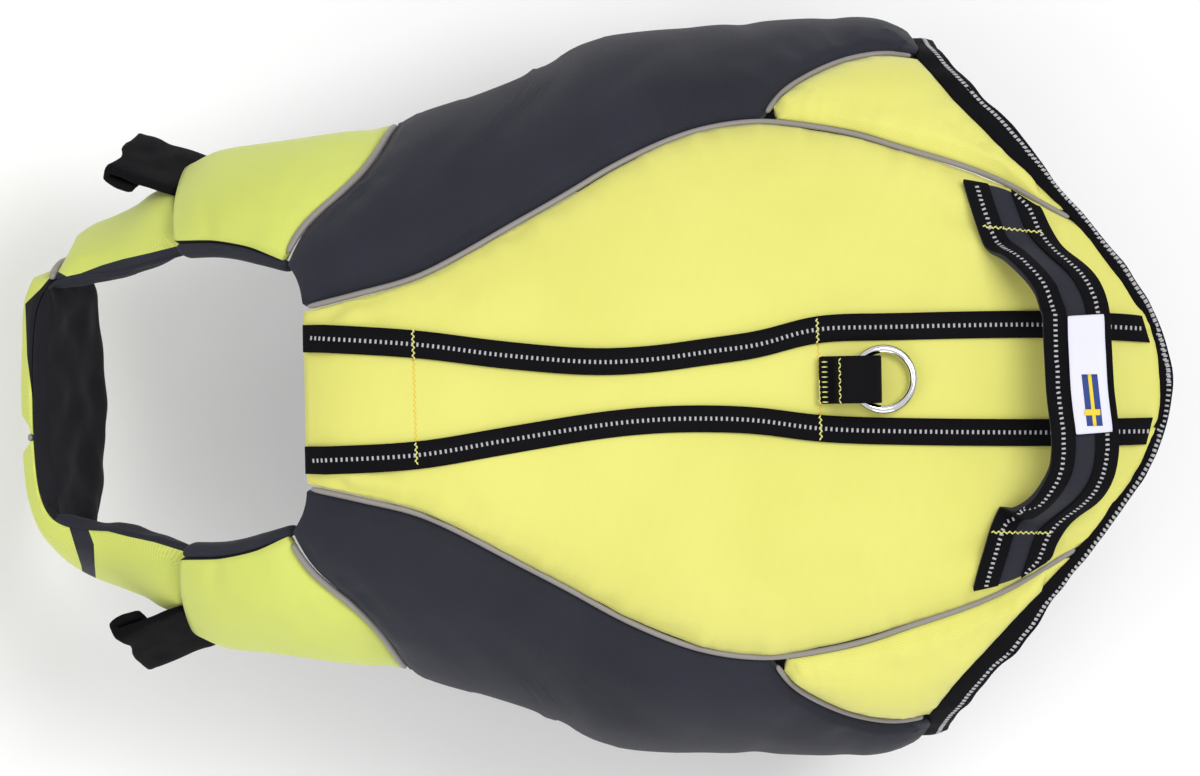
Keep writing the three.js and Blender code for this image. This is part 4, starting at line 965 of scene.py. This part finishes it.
# The leash loop's stitched start: a ladder of bars, and a column of stitches beside it
loop_low, loop_high = (Vector(corner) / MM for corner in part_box("leash_loop"))
loop_top = Surface(loop)
LADDER = (
    dict(name="loop_ladder", x=35.4, size=(0.75 * MM, 3.2 * MM, 0.5 * MM), pitch=2.1, turn=0.0),
    dict(name="loop_column", x=41.6, size=(2.2 * MM, 0.7 * MM, 0.5 * MM), pitch=1.6, turn=math.radians(40)),
)
LADDER_END = 0.8
LADDER_STEP = 0.5
ladder_steps = int((loop_high.y - loop_low.y - 2 * LADDER_END) / LADDER_STEP) + 1
for row in LADDER:
    line = [loop_top.below(row["x"] * MM, (loop_low.y + LADDER_END + k * LADDER_STEP) * MM)
            for k in range(ladder_steps)]
    stops = stops_along([place for place in line if place], row["pitch"] * MM)
    row_of(row["name"], stops, row["size"], PALE_THREAD, turn=row["turn"])


# Floor, light and camera

FLOOR_REACH = 6
UNDER_THE_LOWEST = 0.5 * MM

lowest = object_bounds()[0][2]
floor_form = bmesh.new()
bmesh.ops.create_grid(floor_form, x_segments=1, y_segments=1, size=FLOOR_REACH)
bmesh.ops.translate(floor_form, verts=floor_form.verts, vec=(0, 0, lowest - UNDER_THE_LOWEST))
floor_finish, _, _, _ = new_material("pale_floor", (0.92, 0.92, 0.92), 0.9)
floor = finish_form(floor_form, "floor", floor_finish)


def soft_light(name, place, aim, size, power):
    """A square area light that looks at a point."""
    data = bpy.data.lights.new(name, "AREA")
    data.shape = "SQUARE"
    data.size = size
    data.energy = power
    lamp = bpy.data.objects.new(name, data)
    lamp.location = place
    lamp.rotation_euler = (Vector(aim) - Vector(place)).to_track_quat("-Z", "Y").to_euler()
    bpy.context.scene.collection.objects.link(lamp)


soft_light("main_light", place=(0.75, 0.45, 1.7), aim=(-0.05, 0, -0.05), size=0.9, power=22)
soft_light("fill_light", place=(-1.3, -0.5, 1.3), aim=(-0.05, 0, -0.05), size=1.4, power=9)
soft_light("low_light", place=(0.2, -1.8, 0.5), aim=(-0.05, 0, -0.1), size=1.2, power=6)

world = bpy.data.worlds.new("studio")
bpy.context.scene.world = world
world.use_nodes = True
world.node_tree.nodes["Background"].inputs["Color"].default_value = (1, 1, 1, 1)
world.node_tree.nodes["Background"].inputs["Strength"].default_value = 0.7

# The camera looks straight down from far away. The width of the photo is in pixels
PHOTO_SCALE = 0.42 * MM
PHOTO_WIDTH = 1200
VIEW_DISTANCE = 14.0
VIEW_PLANE_Z = -30 * MM
VIEW_X, VIEW_Y = -58.8 * MM, 1.9 * MM
SENSOR_WIDTH = 36

photo_roll = math.radians(1.07)
camera_data = bpy.data.cameras.new("camera")
camera_data.sensor_width = SENSOR_WIDTH
camera_data.lens = SENSOR_WIDTH * VIEW_DISTANCE / (PHOTO_WIDTH * PHOTO_SCALE)
camera_data.clip_end = 100
camera = bpy.data.objects.new("camera", camera_data)
right = Vector((math.cos(photo_roll), -math.sin(photo_roll), 0))
up = Vector((math.sin(photo_roll), math.cos(photo_roll), 0))
camera.matrix_world = Matrix((right, up, Vector((0, 0, 1)))).transposed().to_4x4()
camera.location = (VIEW_X, VIEW_Y, VIEW_PLANE_Z + VIEW_DISTANCE)
bpy.context.scene.collection.objects.link(camera)
bpy.context.scene.camera = camera
bpy.context.scene.view_settings.view_transform = "Standard"
